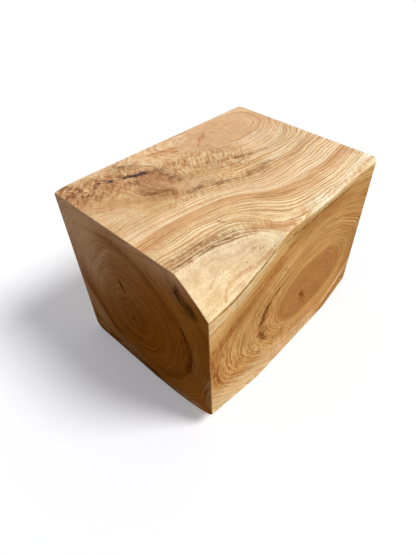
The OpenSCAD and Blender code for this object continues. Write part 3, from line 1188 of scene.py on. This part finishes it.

# %% [markdown]
# Around the marks, and near some of the edges, the wood is darker over a wider area. Beside
# two upright edges, the far one of the near side and the near-side one of the near end, that
# darkening is painted shade. That shade is smooth and has no streaks.

# %% Strokes of soft shade
TOP_SHADE = [
    (22, 0.36, [(-116, 90), (-106, 50)]),
    (20, 0.36, [(-98, 80), (-92, 50)]),
    (15, 0.32, [(-128, 54), (-108, 26)]),
    (15, 0.42, [(-76, 96), (-71, 50)]),
    (15, 0.14, [(-190, 8), (-140, 10)]),
    (13, 0.16, [(-82, 8), (-52, 2)]),
    (30, 0.22, [(-205, 140), (-130, 130)]),
    (22, 0.20, [(-225, 104), (-150, 100)]),
    (24, 0.58, [(-132, 142), (-102, 134)]),
    (24, 0.22, [(-120, 26), (-50, 10)]),
    (22, 0.12, [(-225, -84), (-150, -84)]),
    (16, 0.20, [(-60, 44), (-40, 30)]),
    (24, 0.16, [(10, 60), (60, 34)]),
    (22, 0.26, [(-44, 84), (30, 42)]),
    (9, 0.22, [(22, 90), (48, 68), (76, 54)]),
]
WANE_SHADE = [
    (22, 0.50, [(-126, 0.2), (-106, 0.5)]),
    (28, 0.52, [(-215, 0.12), (-155, 0.16)]),
]
SIDE_SHADE = [
    (16, 0.34, [(-160, 300), (-100, 318)]),
    (18, 0.50, [(-36, 306), (60, 306), (215, 298)]),
    # Painted shade beside the far upright edge of the near side, where it is rounded
    (34, 0.58, [(206, 90), (212, 240)]),
    (24, 0.30, [(150, 236), (158, 150)]),
    (18, 0.44, [(-172, 214), (-110, 222)]),
    (18, 0.26, [(-160, 200), (-150, 150)]),
    (18, 0.40, [(-108, 190), (-104, 130)]),
    (14, 0.24, [(-62, 170), (-54, 120)]),
]
END_SHADE = [
    # Painted shade along the near end's upright edge at the near side
    (30, 0.44, [(-158, 100), (-156, 230)]),
    (28, 0.30, [(150, 232), (150, 160)]),
    (46, 0.18, [(-70, 100), (-90, 170)]),
    (11, 0.62, [(58, 295), (30, 300), (6, 297)]),
    (8, 0.36, [(-4, 294), (-36, 282), (-68, 256), (-90, 224)]),
]

# %% [markdown]
# Beside the knots the fibres are wavy, so the cut shows short ripples across the grain. In
# the middle of a branch, and behind the knot, the lines nearly vanish: that wood is calm.
# Both are strokes as well.

# %% Strokes of ripples and of calm wood
TOP_RIPPLE = [
    (30, 0.9, [(-35, 75), (10, 55), (45, 30)]),
    (24, 0.5, [(-110, 5), (-60, -5), (0, -14)]),
    (32, 0.65, [(-220, 140), (-160, 120), (-110, 136)]),
    (14, 0.5, [(-210, 96), (-110, 92)]),
    (14, 0.32, [(-215, -96), (-110, -110), (-60, -134)]),
    (12, 0.5, [(20, -26), (60, -30)]),
    (8, 0.35, [(-30, -152), (80, -158), (190, -155)]),
]
SIDE_RIPPLE = [
    (34, 0.55, [(-205, 180), (-160, 110), (-100, 150), (-90, 200)]),
    (24, 0.35, [(-80, 90), (-30, 60)]),
]
TOP_CALM = [
    (26, 0.85, [(-225, 72), (-165, 62)]),
    (18, 0.6, [(-225, 34), (-150, 30)]),
    (44, 1.0, [(50, 114), (118, 122)]),
    (24, 0.9, [(4, 152), (12, 98)]),
    (24, 0.4, [(44, 90), (90, 82)]),
    (22, 0.5, [(-60, 150), (0, 100)]),
    (16, 0.5, [(-40, 30), (0, 5)]),
    (26, 0.5, [(-36, 78), (14, 54)]),
    (16, 0.4, [(-112, 70), (-100, 40)]),
]
SIDE_CALM = [
    (34, 0.7, [(10, 150), (90, 140)]),
    (26, 0.6, [(-70, 40), (120, 50)]),
    (30, 0.5, [(-225, 50), (-120, 20)]),
    (18, 0.5, [(160, 180), (176, 146), (160, 104)]),
    (14, 0.4, [(10, 84), (100, 84)]),
]
END_CALM = [(34, 0.5, [(146, 236), (118, 290), (50, 306)])]

# %% [markdown]
# Every stroke is turned into numbers at the points of the mesh, and the strokes of one kind
# are gathered from all faces into one field.

# %% Fields from the strokes
long_face = 1 - end_share
near_face = end_share * (POINTS[:, 0] < 0)
far_face = end_share * (POINTS[:, 0] > 0)
# How a face's strokes are lifted onto the block, and where they count
FACES = {
    "top": (on_top, long_face),
    "side": (on_side, long_face),
    "wane": (on_wane, long_face),
    "end": (on_near_end, near_face),
}
STROKES = {
    "shade": [(TOP_SHADE, "top"), (SIDE_SHADE, "side"), (WANE_SHADE, "wane"), (END_SHADE, "end")],
    "dark_marks_and_groove_shade": [(TOP_DARK, "top"), (SIDE_DARK, "side"), (GROOVE_SHADE, "side"), (END_DARK, "end")],
    "red_marks": [(TOP_RED, "top"), (SIDE_RED, "side"), (WANE_RED, "wane")],
    "pale_marks": [(TOP_PALE, "top"), (SIDE_PALE, "side")],
    "stain_and_crack_shade": [(TOP_CRACK_SHADE, "top"), (END_STAIN, "end")],
    "sapwood_and_sheen": [(END_SAPWOOD_AND_SHEEN, "end")],
    "ripple": [(TOP_RIPPLE, "top"), (SIDE_RIPPLE, "side")],
    "calm": [(TOP_CALM, "top"), (SIDE_CALM, "side"), (END_CALM, "end")],
}
# The far end, which no picture shows, is evenly made of some sapwood
FAR_END_SAPWOOD = 0.45
EVEN = {"sapwood_and_sheen": FAR_END_SAPWOOD * far_face}


def stroke_field(strokes, lift):
    """How strongly each point is marked: strokes laid over one another."""
    left = np.ones(len(POINTS))
    for width, strength, line in strokes:
        corners = np.array([lift(u, v) for u, v in line], float)
        nearest = np.full(len(POINTS), np.inf)
        for a, b in zip(corners[:-1], corners[1:]):
            step = b - a
            t = np.clip((POINTS_MM - a) @ step / (step @ step), 0, 1)
            gap = np.linalg.norm(POINTS_MM - a - t[:, None] * step, axis=1)
            nearest = np.minimum(nearest, gap)
        left *= 1 - strength * np.exp(-(nearest / width) ** 2)
    return 1 - left


for name, parts in STROKES.items():
    field = EVEN.get(name, np.zeros(len(POINTS)))
    for strokes, face in parts:
        lift, share = FACES[face]
        field = np.maximum(field, stroke_field(strokes, lift) * share)
    save_field(name, field)
    print(name, "covers", round(100 * float((field > 0.5).mean()), 1), "% of the points")

# %% [markdown]
# The walls of the openings get painted shade, so the points on their walls are marked too.

# %% Walls of the openings
# Walls count from this far under the surface: of the crack and pits, and of the pinholes
CRACK_RIM, PINHOLE_RIM = 0.3 * MM, 0.25 * MM
# How far walls are looked for beyond an outline, and around a pinhole as a share of its width
OPENING_MARGIN = 1 * MM
PINHOLE_REACH = 0.66


def inside_openings():
    """1 on the walls of the crack, the pits and the pinholes, just under the surface."""
    found = np.zeros(len(POINTS))
    down = HIGH[2] - POINTS[:, 2]
    for middle, outline, depth in opening_places():
        away = np.hypot(POINTS[:, 0] - middle[0], POINTS[:, 1] - middle[1])
        reach = max(abs(x) for x, y in outline) + OPENING_MARGIN
        found[(away < reach) & (down > CRACK_RIM) & (down < depth + OPENING_MARGIN)] = 1
    for place, outward in zip(HOLE_PLACES, HOLE_OUTWARD):
        gap = POINTS - place
        down = -(gap @ outward)
        away = np.linalg.norm(gap + down[:, None] * outward, axis=1)
        near = away < HOLE_WIDTH * PINHOLE_REACH
        found[near & (down > PINHOLE_RIM) & (down < 2 * HOLE_DEPTH)] = 1
    return found


opened = inside_openings()
save_field("opening", opened)
print("points on the walls of the openings:", int(opened.sum()))

# %% [markdown]
# ## The look of the wood
# The material reads the growth field and draws three sizes of lines along it: broad bands
# of several years, single years, and the fine layers inside one year. Slow noise along the
# fibres lets each line fade and return. Colour follows growth: the middle of a branch is
# darker and smoother, one run of years is reddish brown, and the youngest wood is pale.

# %% Colours as seen in plain light


def linear(colour):
    """A colour as screens write it, 0 to 255, turned into linear light by their own curve."""
    out = []
    for value in colour:
        v = value / 255
        out.append(v / 12.92 if v <= 0.04045 else ((v + 0.055) / 1.055) ** 2.4)
    return (*out, 1.0)


def paint(colour):
    """Three plain numbers as a colour that is multiplied with another."""
    return (*colour, 1.0)


def grey(value):
    """A plain number as a grey colour."""
    return (value, value, value, 1.0)


# Along the growth in millimetres, from the middle of the tree or branch to its outside
FULL_GROWTH, END_FULL_GROWTH = 300.0, 170.0
TOP_COLOURS = [(0, (230, 183, 135)), (42, (229, 182, 134)), (56, (233, 188, 138)),
               (74, (230, 184, 130)), (90, (216, 168, 116)), (112, (225, 179, 124)),
               (150, (226, 179, 126)), (162, (240, 199, 149)), (194, (241, 200, 151)),
               (200, (225, 173, 119)), (228, (224, 171, 116)), (234, (239, 198, 145)),
               (262, (240, 200, 147)), (280, (244, 213, 163)), (300, (248, 223, 177))]
SIDE_COLOURS = [(0, (175, 121, 69)), (44, (175, 121, 69)), (49, (171, 117, 61)),
                (62, (198, 147, 88)), (88, (197, 145, 87)), (102, (186, 132, 76)),
                (116, (200, 148, 89)), (170, (193, 140, 80)), (210, (193, 139, 78)),
                (240, (204, 157, 96)), (300, (210, 167, 105))]
END_COLOURS = [(0, (115, 64, 14)), (60, (119, 67, 16)), (100, (123, 70, 22)),
               (130, (116, 66, 18)), (138, (131, 79, 28)), (170, (131, 78, 26))]
# How the tone tints the colour, from 0 for dark to 1 for light
LINE_TINTS = [(0.0, (0.69, 0.53, 0.39)), (0.5, (1.0, 1.0, 1.0)), (1.0, (1.24, 1.50, 1.84))]
WANE_COLOUR, WANE_PATCH = (231, 198, 145), (246, 218, 170)
# Pale sapwood, a little greyer and bluer, so that on the near end it is also a painted sheen
SAPWOOD_AND_SHEEN_COLOUR = (180, 143, 108)
# Painted shade in the crack and the pits on the top, and the stain on the near end
CRACK_SHADE_COLOUR, END_STAIN_COLOUR = (52, 38, 28), (68, 42, 18)
# Painted shade on the walls of the crack, the pits and the pinholes
OPENING_SHADE_COLOUR = (112, 98, 96)
# Paints are multiplied with the colour under them
SHADE_PAINT = (0.62, 0.52, 0.44)
TOP_DARK_PAINT, SIDE_DARK_PAINT = (0.47, 0.37, 0.33), (0.42, 0.30, 0.16)
RED_PAINT = (0.80, 0.63, 0.52)
TOP_PALE_PAINT, SIDE_PALE_PAINT = (1.11, 1.25, 1.46), (1.32, 1.72, 2.70)
PORE_PAINT = (0.35, 0.26, 0.20)

# %% Node calls for wood


class WoodNodes(Nodes):
    """The short calls, and more of them for noise, lines and colours in the wood."""

    def __init__(self, tree):
        super().__init__(tree)
        self.place = self.node("ShaderNodeTexCoord").outputs["Object"]
        self.fields = {}
        for name in FIELD_NAMES:
            self.fields[name] = self.node("ShaderNodeAttribute", attribute_name=name).outputs["Fac"]

    def step(self, value, low, high):
        """0 below low, 1 above high, smooth between."""
        inputs = {"Value": value, "From Min": low, "From Max": high}
        made = self.node("ShaderNodeMapRange", inputs, interpolation_type="SMOOTHSTEP")
        return made.outputs["Result"]

    def noise(self, size, detail=0.0):
        """Plain noise in space, about -0.5 to 0.5, with features of a size in millimetres."""
        inputs = {"Vector": self.place, "Scale": MM_PER_METRE / size, "Detail": detail}
        made = self.node("ShaderNodeTexNoise", inputs, noise_dimensions="3D")
        return self.math("SUBTRACT", made.outputs["Fac"], 0.5)

    def lines(self, growth, period, along, detail=0.0):
        """Noise that changes fast across the growth and slowly along it."""
        inputs = {0: self.place, 1: (MM_PER_METRE / along,) * 3}
        slow = self.node("ShaderNodeVectorMath", inputs, operation="MULTIPLY").outputs[0]
        across = self.math("DIVIDE", growth, period)
        inputs = {"Vector": slow, "W": across, "Scale": 1.0, "Detail": detail}
        made = self.node("ShaderNodeTexNoise", inputs, noise_dimensions="4D")
        return self.math("SUBTRACT", made.outputs["Fac"], 0.5)

    def ramp(self, value, full, stops, colour_of):
        """Colour along a value from 0 to full, through stops that colour_of turns to colours."""
        share = self.math("DIVIDE", value, full, clamp=True)
        made = self.node("ShaderNodeValToRGB", {"Fac": share})
        stop = made.color_ramp.elements
        while len(stop) < len(stops):
            stop.new(1.0)
        for element, (place, colour) in zip(stop, stops):
            element.position = place / full
            element.color = colour_of(colour)
        return made.outputs["Color"]

    def mixed(self, share, a, b):
        """Number a turned into number b by a share."""
        return self.node("ShaderNodeMix", {0: share, 2: a, 3: b}, data_type="FLOAT").outputs[0]

    def blend(self, share, a, b, how="MIX"):
        """Colour a turned into colour b by a share."""
        made = self.node("ShaderNodeMix", data_type="RGBA", blend_type=how, clamp_factor=True)
        sockets = [s for s in made.inputs if s.enabled]
        for socket, value in zip(sockets, (share, a, b)):
            self.put(socket, value)
        return [s for s in made.outputs if s.enabled][0]

    def times(self, a, b):
        """Two colours multiplied."""
        return self.blend(1.0, a, b, "MULTIPLY")

    def number(self, colour):
        """The brightness of a grey colour as a number."""
        return self.node("ShaderNodeRGBToBW", {0: colour}).outputs[0]

    def as_grey(self, value):
        """A number as a grey colour."""
        return self.node("ShaderNodeCombineColor", {0: value, 1: value, 2: value}).outputs[0]


# %% [markdown]
# Growth is never quite even, so no line may look drawn with a ruler. Three kinds of noise
# shift it before any line is drawn: a slow sway, a quick jitter, and a curl where the
# fibres ripple.

# %% Growth as the lines read it
# Noise: size of its features in millimetres and detail, then how far it shifts the growth
SWAY, SWAY_SHIFT = (55, 0.0), 9.0
JITTER, JITTER_SHIFT = (9, 2), 1.8
CURL, CURL_SHIFT = (14, 2), 12.0


def shifted_growth(g):
    """The growth of the long faces and the ends in one, shifted by the three noises."""
    growth = g.mixed(g.fields["end_face"], g.fields["growth"], g.fields["end_growth"])
    sway = g.math("MULTIPLY", g.noise(*SWAY), SWAY_SHIFT)
    jitter = g.math("MULTIPLY", g.noise(*JITTER), JITTER_SHIFT)
    curl = g.math("MULTIPLY", g.math("MULTIPLY", g.noise(*CURL), CURL_SHIFT), g.fields["ripple"])
    return g.math("ADD", growth, g.math("ADD", sway, g.math("ADD", jitter, curl)))


# %% [markdown]
# The lines come in several kinds. Most are noise that is squeezed across the growth. The
# rings of single years repeat more evenly: each year's wood starts light and ends in a dark
# line, but the years drift apart and together, and in places a ring fades away.

# %% Kinds of line
# Period across the growth and reach along it, in millimetres, and detail
BROAD = (12.0, 260.0)
YEARLY = (3.0, 170.0)
FINE = (1.5, 90.0, 1.0)
FIBRE = (0.8, 16.0, 1.0)
THREAD = (4.6, 210.0)
DRIFT = (30.0, 150.0)
FADE = (20.0, 120.0)
# A year's growth in millimetres, and how light its wood is from its start to its end
YEAR = 6.0
YEAR_PROFILE = [(0.0, 0.10), (0.10, 0.95), (0.24, 0.90), (0.45, 0.62), (0.80, 0.42), (1.0, 0.10)]
DRIFT_YEARS = 1.7
FADE_EDGE = (-0.30, 0.06)
CRISP_EDGE = (-0.08, 0.08)
THREAD_EDGE = (0.06, 0.0)


def yearly_rings(g, growth):
    """The rings of single years, from -0.5 to 0.5."""
    drift = g.math("MULTIPLY", g.lines(growth, *DRIFT), DRIFT_YEARS)
    years = g.math("ADD", g.math("DIVIDE", growth, YEAR), drift)
    light = g.number(g.ramp(g.math("FRACT", years), 1.0, YEAR_PROFILE, grey))
    shown = g.step(g.lines(growth, *FADE), *FADE_EDGE)
    return g.math("MULTIPLY", g.math("SUBTRACT", light, 0.5), shown)


def all_lines(g, growth):
    """Every kind of line by its name."""
    year = g.lines(growth, *YEARLY)
    return {
        "broad": g.lines(growth, *BROAD),
        "ring": yearly_rings(g, growth),
        "year": year,
        "crisp": g.math("SUBTRACT", g.step(year, *CRISP_EDGE), 0.5),
        "thread": g.step(g.math("ABSOLUTE", g.lines(growth, *THREAD)), *THREAD_EDGE),
        "fine": g.lines(growth, *FINE),
        "fibre": g.lines(growth, *FIBRE),
    }


# %% [markdown]
# All lines together give the tone: how light the wood is at a point, with 0.5 as the
# middle. The lines are stronger in some years than in others, weaker on the ends, and
# nearly gone in calm wood, which is cloudy instead. Grit and ripples come on top.

# %% Tone of the wood
LINE_WEIGHTS = {"broad": 0.55, "ring": 0.85, "year": 0.55, "crisp": 0.16, "thread": 0.26,
                "fine": 1.7, "fibre": 0.95}
TONE_SHIFT = 0.05
TOP_CONTRAST = [(0, 0.40), (40, 0.42), (54, 0.85), (70, 0.92), (100, 0.80),
                (125, 0.90), (196, 0.95), (203, 1.15), (226, 1.15), (236, 1.0), (300, 0.9)]
SIDE_CONTRAST = [(0, 0.34), (50, 0.34), (62, 0.66), (95, 0.72), (110, 0.85), (160, 0.85),
                 (220, 0.95), (300, 0.95)]
END_CONTRAST, WANE_CONTRAST = 0.60, 0.26
LOST_IN_CALM = 0.85
# Noise: size of its features and detail, then its strength
CLOUDY, CLOUDY_EVERYWHERE, CLOUDY_IN_CALM = (11, 3), 0.14, 0.5
GRIT, GRIT_STRENGTH, GRIT_LOST_ON_END = (3.0, 2), 0.75, 0.35
# Ripples: the direction that they run across, and their waves with some noise between
RIPPLE_ACROSS = (0.8, -0.6, 0.0)
RIPPLE_WAVES, WAVE_STRENGTH = (3.5, 16.0, 1.0), 3.5
RIPPLE_NOISE, RIPPLE_ROUGH = (6.0, 3), 0.8


def line_strength(g, growth):
    """How strong the lines are, by growth, by face and by how calm the wood is."""
    top = g.ramp(growth, FULL_GROWTH, TOP_CONTRAST, grey)
    side = g.ramp(growth, FULL_GROWTH, SIDE_CONTRAST, grey)
    strength = g.blend(g.fields["side_face"], top, side)
    strength = g.blend(g.fields["end_face"], strength, grey(END_CONTRAST))
    strength = g.number(g.blend(g.fields["wane"], strength, grey(WANE_CONTRAST)))
    calmed = g.math("MULTIPLY_ADD", g.fields["calm"], -LOST_IN_CALM, 1.0)
    return g.math("MULTIPLY", strength, calmed)


def ripples(g):
    """Short ripples across the fibres."""
    inputs = {0: g.place, 1: RIPPLE_ACROSS}
    lay = g.node("ShaderNodeVectorMath", inputs, operation="DOT_PRODUCT").outputs["Value"]
    waves = g.lines(g.math("MULTIPLY", lay, MM_PER_METRE), *RIPPLE_WAVES)
    waves = g.math("MULTIPLY", waves, WAVE_STRENGTH)
    return g.math("MULTIPLY_ADD", g.noise(*RIPPLE_NOISE), RIPPLE_ROUGH, waves)


def wood_tone(g, growth, lines, grit):
    """How light the wood is: the weighted lines, clouds, grit and ripples."""
    tone = 0.0
    for name, weight in LINE_WEIGHTS.items():
        tone = g.math("MULTIPLY_ADD", lines[name], weight, tone)
    tone = g.math("SUBTRACT", tone, TONE_SHIFT)
    tone = g.math("MULTIPLY_ADD", tone, line_strength(g, growth), 0.5)
    cloudy = g.math("MULTIPLY_ADD", g.fields["calm"], CLOUDY_IN_CALM, CLOUDY_EVERYWHERE)
    tone = g.math("ADD", tone, g.math("MULTIPLY", g.noise(*CLOUDY), cloudy))
    gritty = g.math("MULTIPLY_ADD", g.fields["end_face"], -GRIT_LOST_ON_END, GRIT_STRENGTH)
    tone = g.math("MULTIPLY_ADD", grit, gritty, tone)
    return g.math("MULTIPLY_ADD", ripples(g), g.fields["ripple"], tone)


# %% [markdown]
# The colour starts from the growth and the face, and the tone tints it. Then come the
# sapwood, which on the near end carries a painted sheen, the shade and the marks; some of
# the shade and of the marks, and the walls of the openings, are painted shade. Rough noise
# breaks up the edges of the marks, and it follows the years, so that a mark ends in streaks
# along the fibres.

# %% Colour of the wood
# Noise is given by the size of its features and its detail, and an edge by where a smooth
# step begins and ends
MOTTLE, MOTTLE_EDGE = (30, 3), (-0.12, 0.14)
SAPWOOD_AND_SHEEN_SHARE = 0.9
# Noise that breaks up the edges of marks, its strength, and how fast it sets in at an edge
RAGGED, RAGGED_STRENGTH, RAGGED_ONSET = (7, 3), 1.1, 2.2
MARK_EDGE = (0.12, 0.85)
UNEVEN, UNEVEN_STRENGTH = (38, 2), 0.3
OPENING_EDGE = (0.15, 0.6)


def grown_colour(g, growth, tint):
    """Colour by growth and face, tinted by the lines, with sapwood and painted sheen over it."""
    colour = g.blend(g.fields["side_face"],
                     g.ramp(growth, FULL_GROWTH, TOP_COLOURS, linear),
                     g.ramp(growth, FULL_GROWTH, SIDE_COLOURS, linear))
    end_colour = g.ramp(growth, END_FULL_GROWTH, END_COLOURS, linear)
    colour = g.blend(g.fields["end_face"], colour, end_colour)
    mottle = g.step(g.noise(*MOTTLE), *MOTTLE_EDGE)
    outside = g.blend(mottle, linear(WANE_COLOUR), linear(WANE_PATCH))
    colour = g.times(g.blend(g.fields["wane"], colour, outside), tint)
    share = g.math("MULTIPLY", g.fields["sapwood_and_sheen"], SAPWOOD_AND_SHEEN_SHARE)
    return g.blend(share, colour, g.times(linear(SAPWOOD_AND_SHEEN_COLOUR), tint))


def mark_share(g, name, rough):
    """How much of a mark shows at each point, its edge broken up along the fibres."""
    value = g.fields[name]
    edge = g.math("MULTIPLY", rough, g.math("MULTIPLY", value, RAGGED_ONSET, clamp=True))
    return g.step(g.math("ADD", value, edge), *MARK_EDGE)


def marked_colour(g, colour, year):
    """A colour with shade, marks, stain, and painted shade in and on the walls of the openings."""
    end = g.fields["end_face"]
    below = g.math("MAXIMUM", g.fields["side_face"], end)
    paints = {
        "pale_marks": g.blend(below, paint(TOP_PALE_PAINT), paint(SIDE_PALE_PAINT)),
        "red_marks": paint(RED_PAINT),
        "dark_marks_and_groove_shade": g.blend(below, paint(TOP_DARK_PAINT), paint(SIDE_DARK_PAINT)),
    }
    rough = g.math("MULTIPLY", g.noise(*RAGGED), RAGGED_STRENGTH)
    rough = g.math("MULTIPLY_ADD", year, RAGGED_STRENGTH, rough)
    colour = g.times(colour, g.blend(g.fields["shade"], WHITE, paint(SHADE_PAINT)))
    for name, painted in paints.items():
        colour = g.times(colour, g.blend(mark_share(g, name, rough), WHITE, painted))
    # Painted shade in the crack and the pits on the top, and the stain on the near end
    stain_and_crack_shade = g.blend(end, linear(CRACK_SHADE_COLOUR), linear(END_STAIN_COLOUR))
    colour = g.blend(mark_share(g, "stain_and_crack_shade", rough), colour, stain_and_crack_shade)
    uneven = g.math("MULTIPLY_ADD", g.noise(*UNEVEN), UNEVEN_STRENGTH, 1.0)
    colour = g.times(colour, g.as_grey(uneven))
    # Painted shade on the walls of the openings
    walls = g.step(g.fields["opening"], *OPENING_EDGE)
    return g.blend(walls, colour, linear(OPENING_SHADE_COLOUR))


# %% [markdown]
# The pores are short dark dashes along the fibres, and fainter on the wane. The finish is
# satin, with its gloss on the top. The darker lines and the pores lie a little lower than
# the rest, and the walls of the openings are rougher.

# %% Pores and surface
PORE_EDGE = (0.15, 0.30)
PORE_SHARE, PORE_LOST_ON_WANE = 0.16, 0.12
ROUGHNESS, SMOOTHER_WHEN_LIGHT, ROUGHER_WALLS = 0.50, 0.12, 0.4
GLOSS = 0.30
# How much the pores, the tone and the grit count in the relief, and the relief's own size
PORE_RELIEF, TONE_RELIEF, GRIT_RELIEF = -2.0, 0.5, 0.25
RELIEF_STRENGTH, RELIEF_HEIGHT = 0.35, 0.25 * MM


def pore_share(g, fibre):
    """How much of a pore shows at each point."""
    lost = g.math("MULTIPLY", g.fields["wane"], PORE_LOST_ON_WANE)
    return g.math("MULTIPLY", g.step(fibre, *PORE_EDGE), g.math("SUBTRACT", PORE_SHARE, lost))


def surface(g, colour, tone, pore, grit):
    """The surface with its colour, roughness, gloss and fine relief."""
    shine = g.math("MULTIPLY_ADD", tone, -SMOOTHER_WHEN_LIGHT, ROUGHNESS)
    gloss = g.math("SUBTRACT", GLOSS, g.math("MULTIPLY", g.fields["end_face"], GLOSS))
    off = g.math("MULTIPLY", g.fields["side_face"], GLOSS)
    relief = g.math("MULTIPLY_ADD", pore, PORE_RELIEF, g.math("MULTIPLY", tone, TONE_RELIEF))
    bump = g.node("ShaderNodeBump", {
        "Strength": RELIEF_STRENGTH,
        "Distance": RELIEF_HEIGHT,
        "Height": g.math("MULTIPLY_ADD", grit, GRIT_RELIEF, relief),
    })
    return g.node("ShaderNodeBsdfPrincipled", {
        "Base Color": colour,
        "Roughness": g.math("MULTIPLY_ADD", g.fields["opening"], ROUGHER_WALLS, shine),
        "Specular IOR Level": g.math("SUBTRACT", gloss, off, clamp=True),
        "Normal": bump.outputs["Normal"],
    }).outputs[0]


# %% The whole material


def wood_material(material):
    """Growth, lines, tone, colour, marks, pores and surface, each from the ones before."""
    g = WoodNodes(material.node_tree)
    growth = shifted_growth(g)
    lines = all_lines(g, growth)
    grit = g.noise(*GRIT)
    tone = wood_tone(g, growth, lines, grit)
    tint = g.ramp(tone, 1.0, LINE_TINTS, paint)
    colour = marked_colour(g, grown_colour(g, growth, tint), lines["year"])
    pore = pore_share(g, lines["fibre"])
    colour = g.blend(pore, colour, g.times(colour, paint(PORE_PAINT)))
    g.node("ShaderNodeOutputMaterial", {"Surface": surface(g, colour, tone, pore, grit)})
    print("the wood has", len(g.tree.nodes), "nodes")


wood_material(WOOD)

# %% [markdown]
# The block rides on the scene's own body, stands in for the CAD's node and is made of wood.

# %% Finish
block.data.materials.clear()
block.data.materials.append(WOOD)
for face in block.data.polygons:
    face.use_smooth = True
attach(block, "root")
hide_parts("block")
print("triangles:", sum(len(face.vertices) - 2 for face in block.data.polygons))
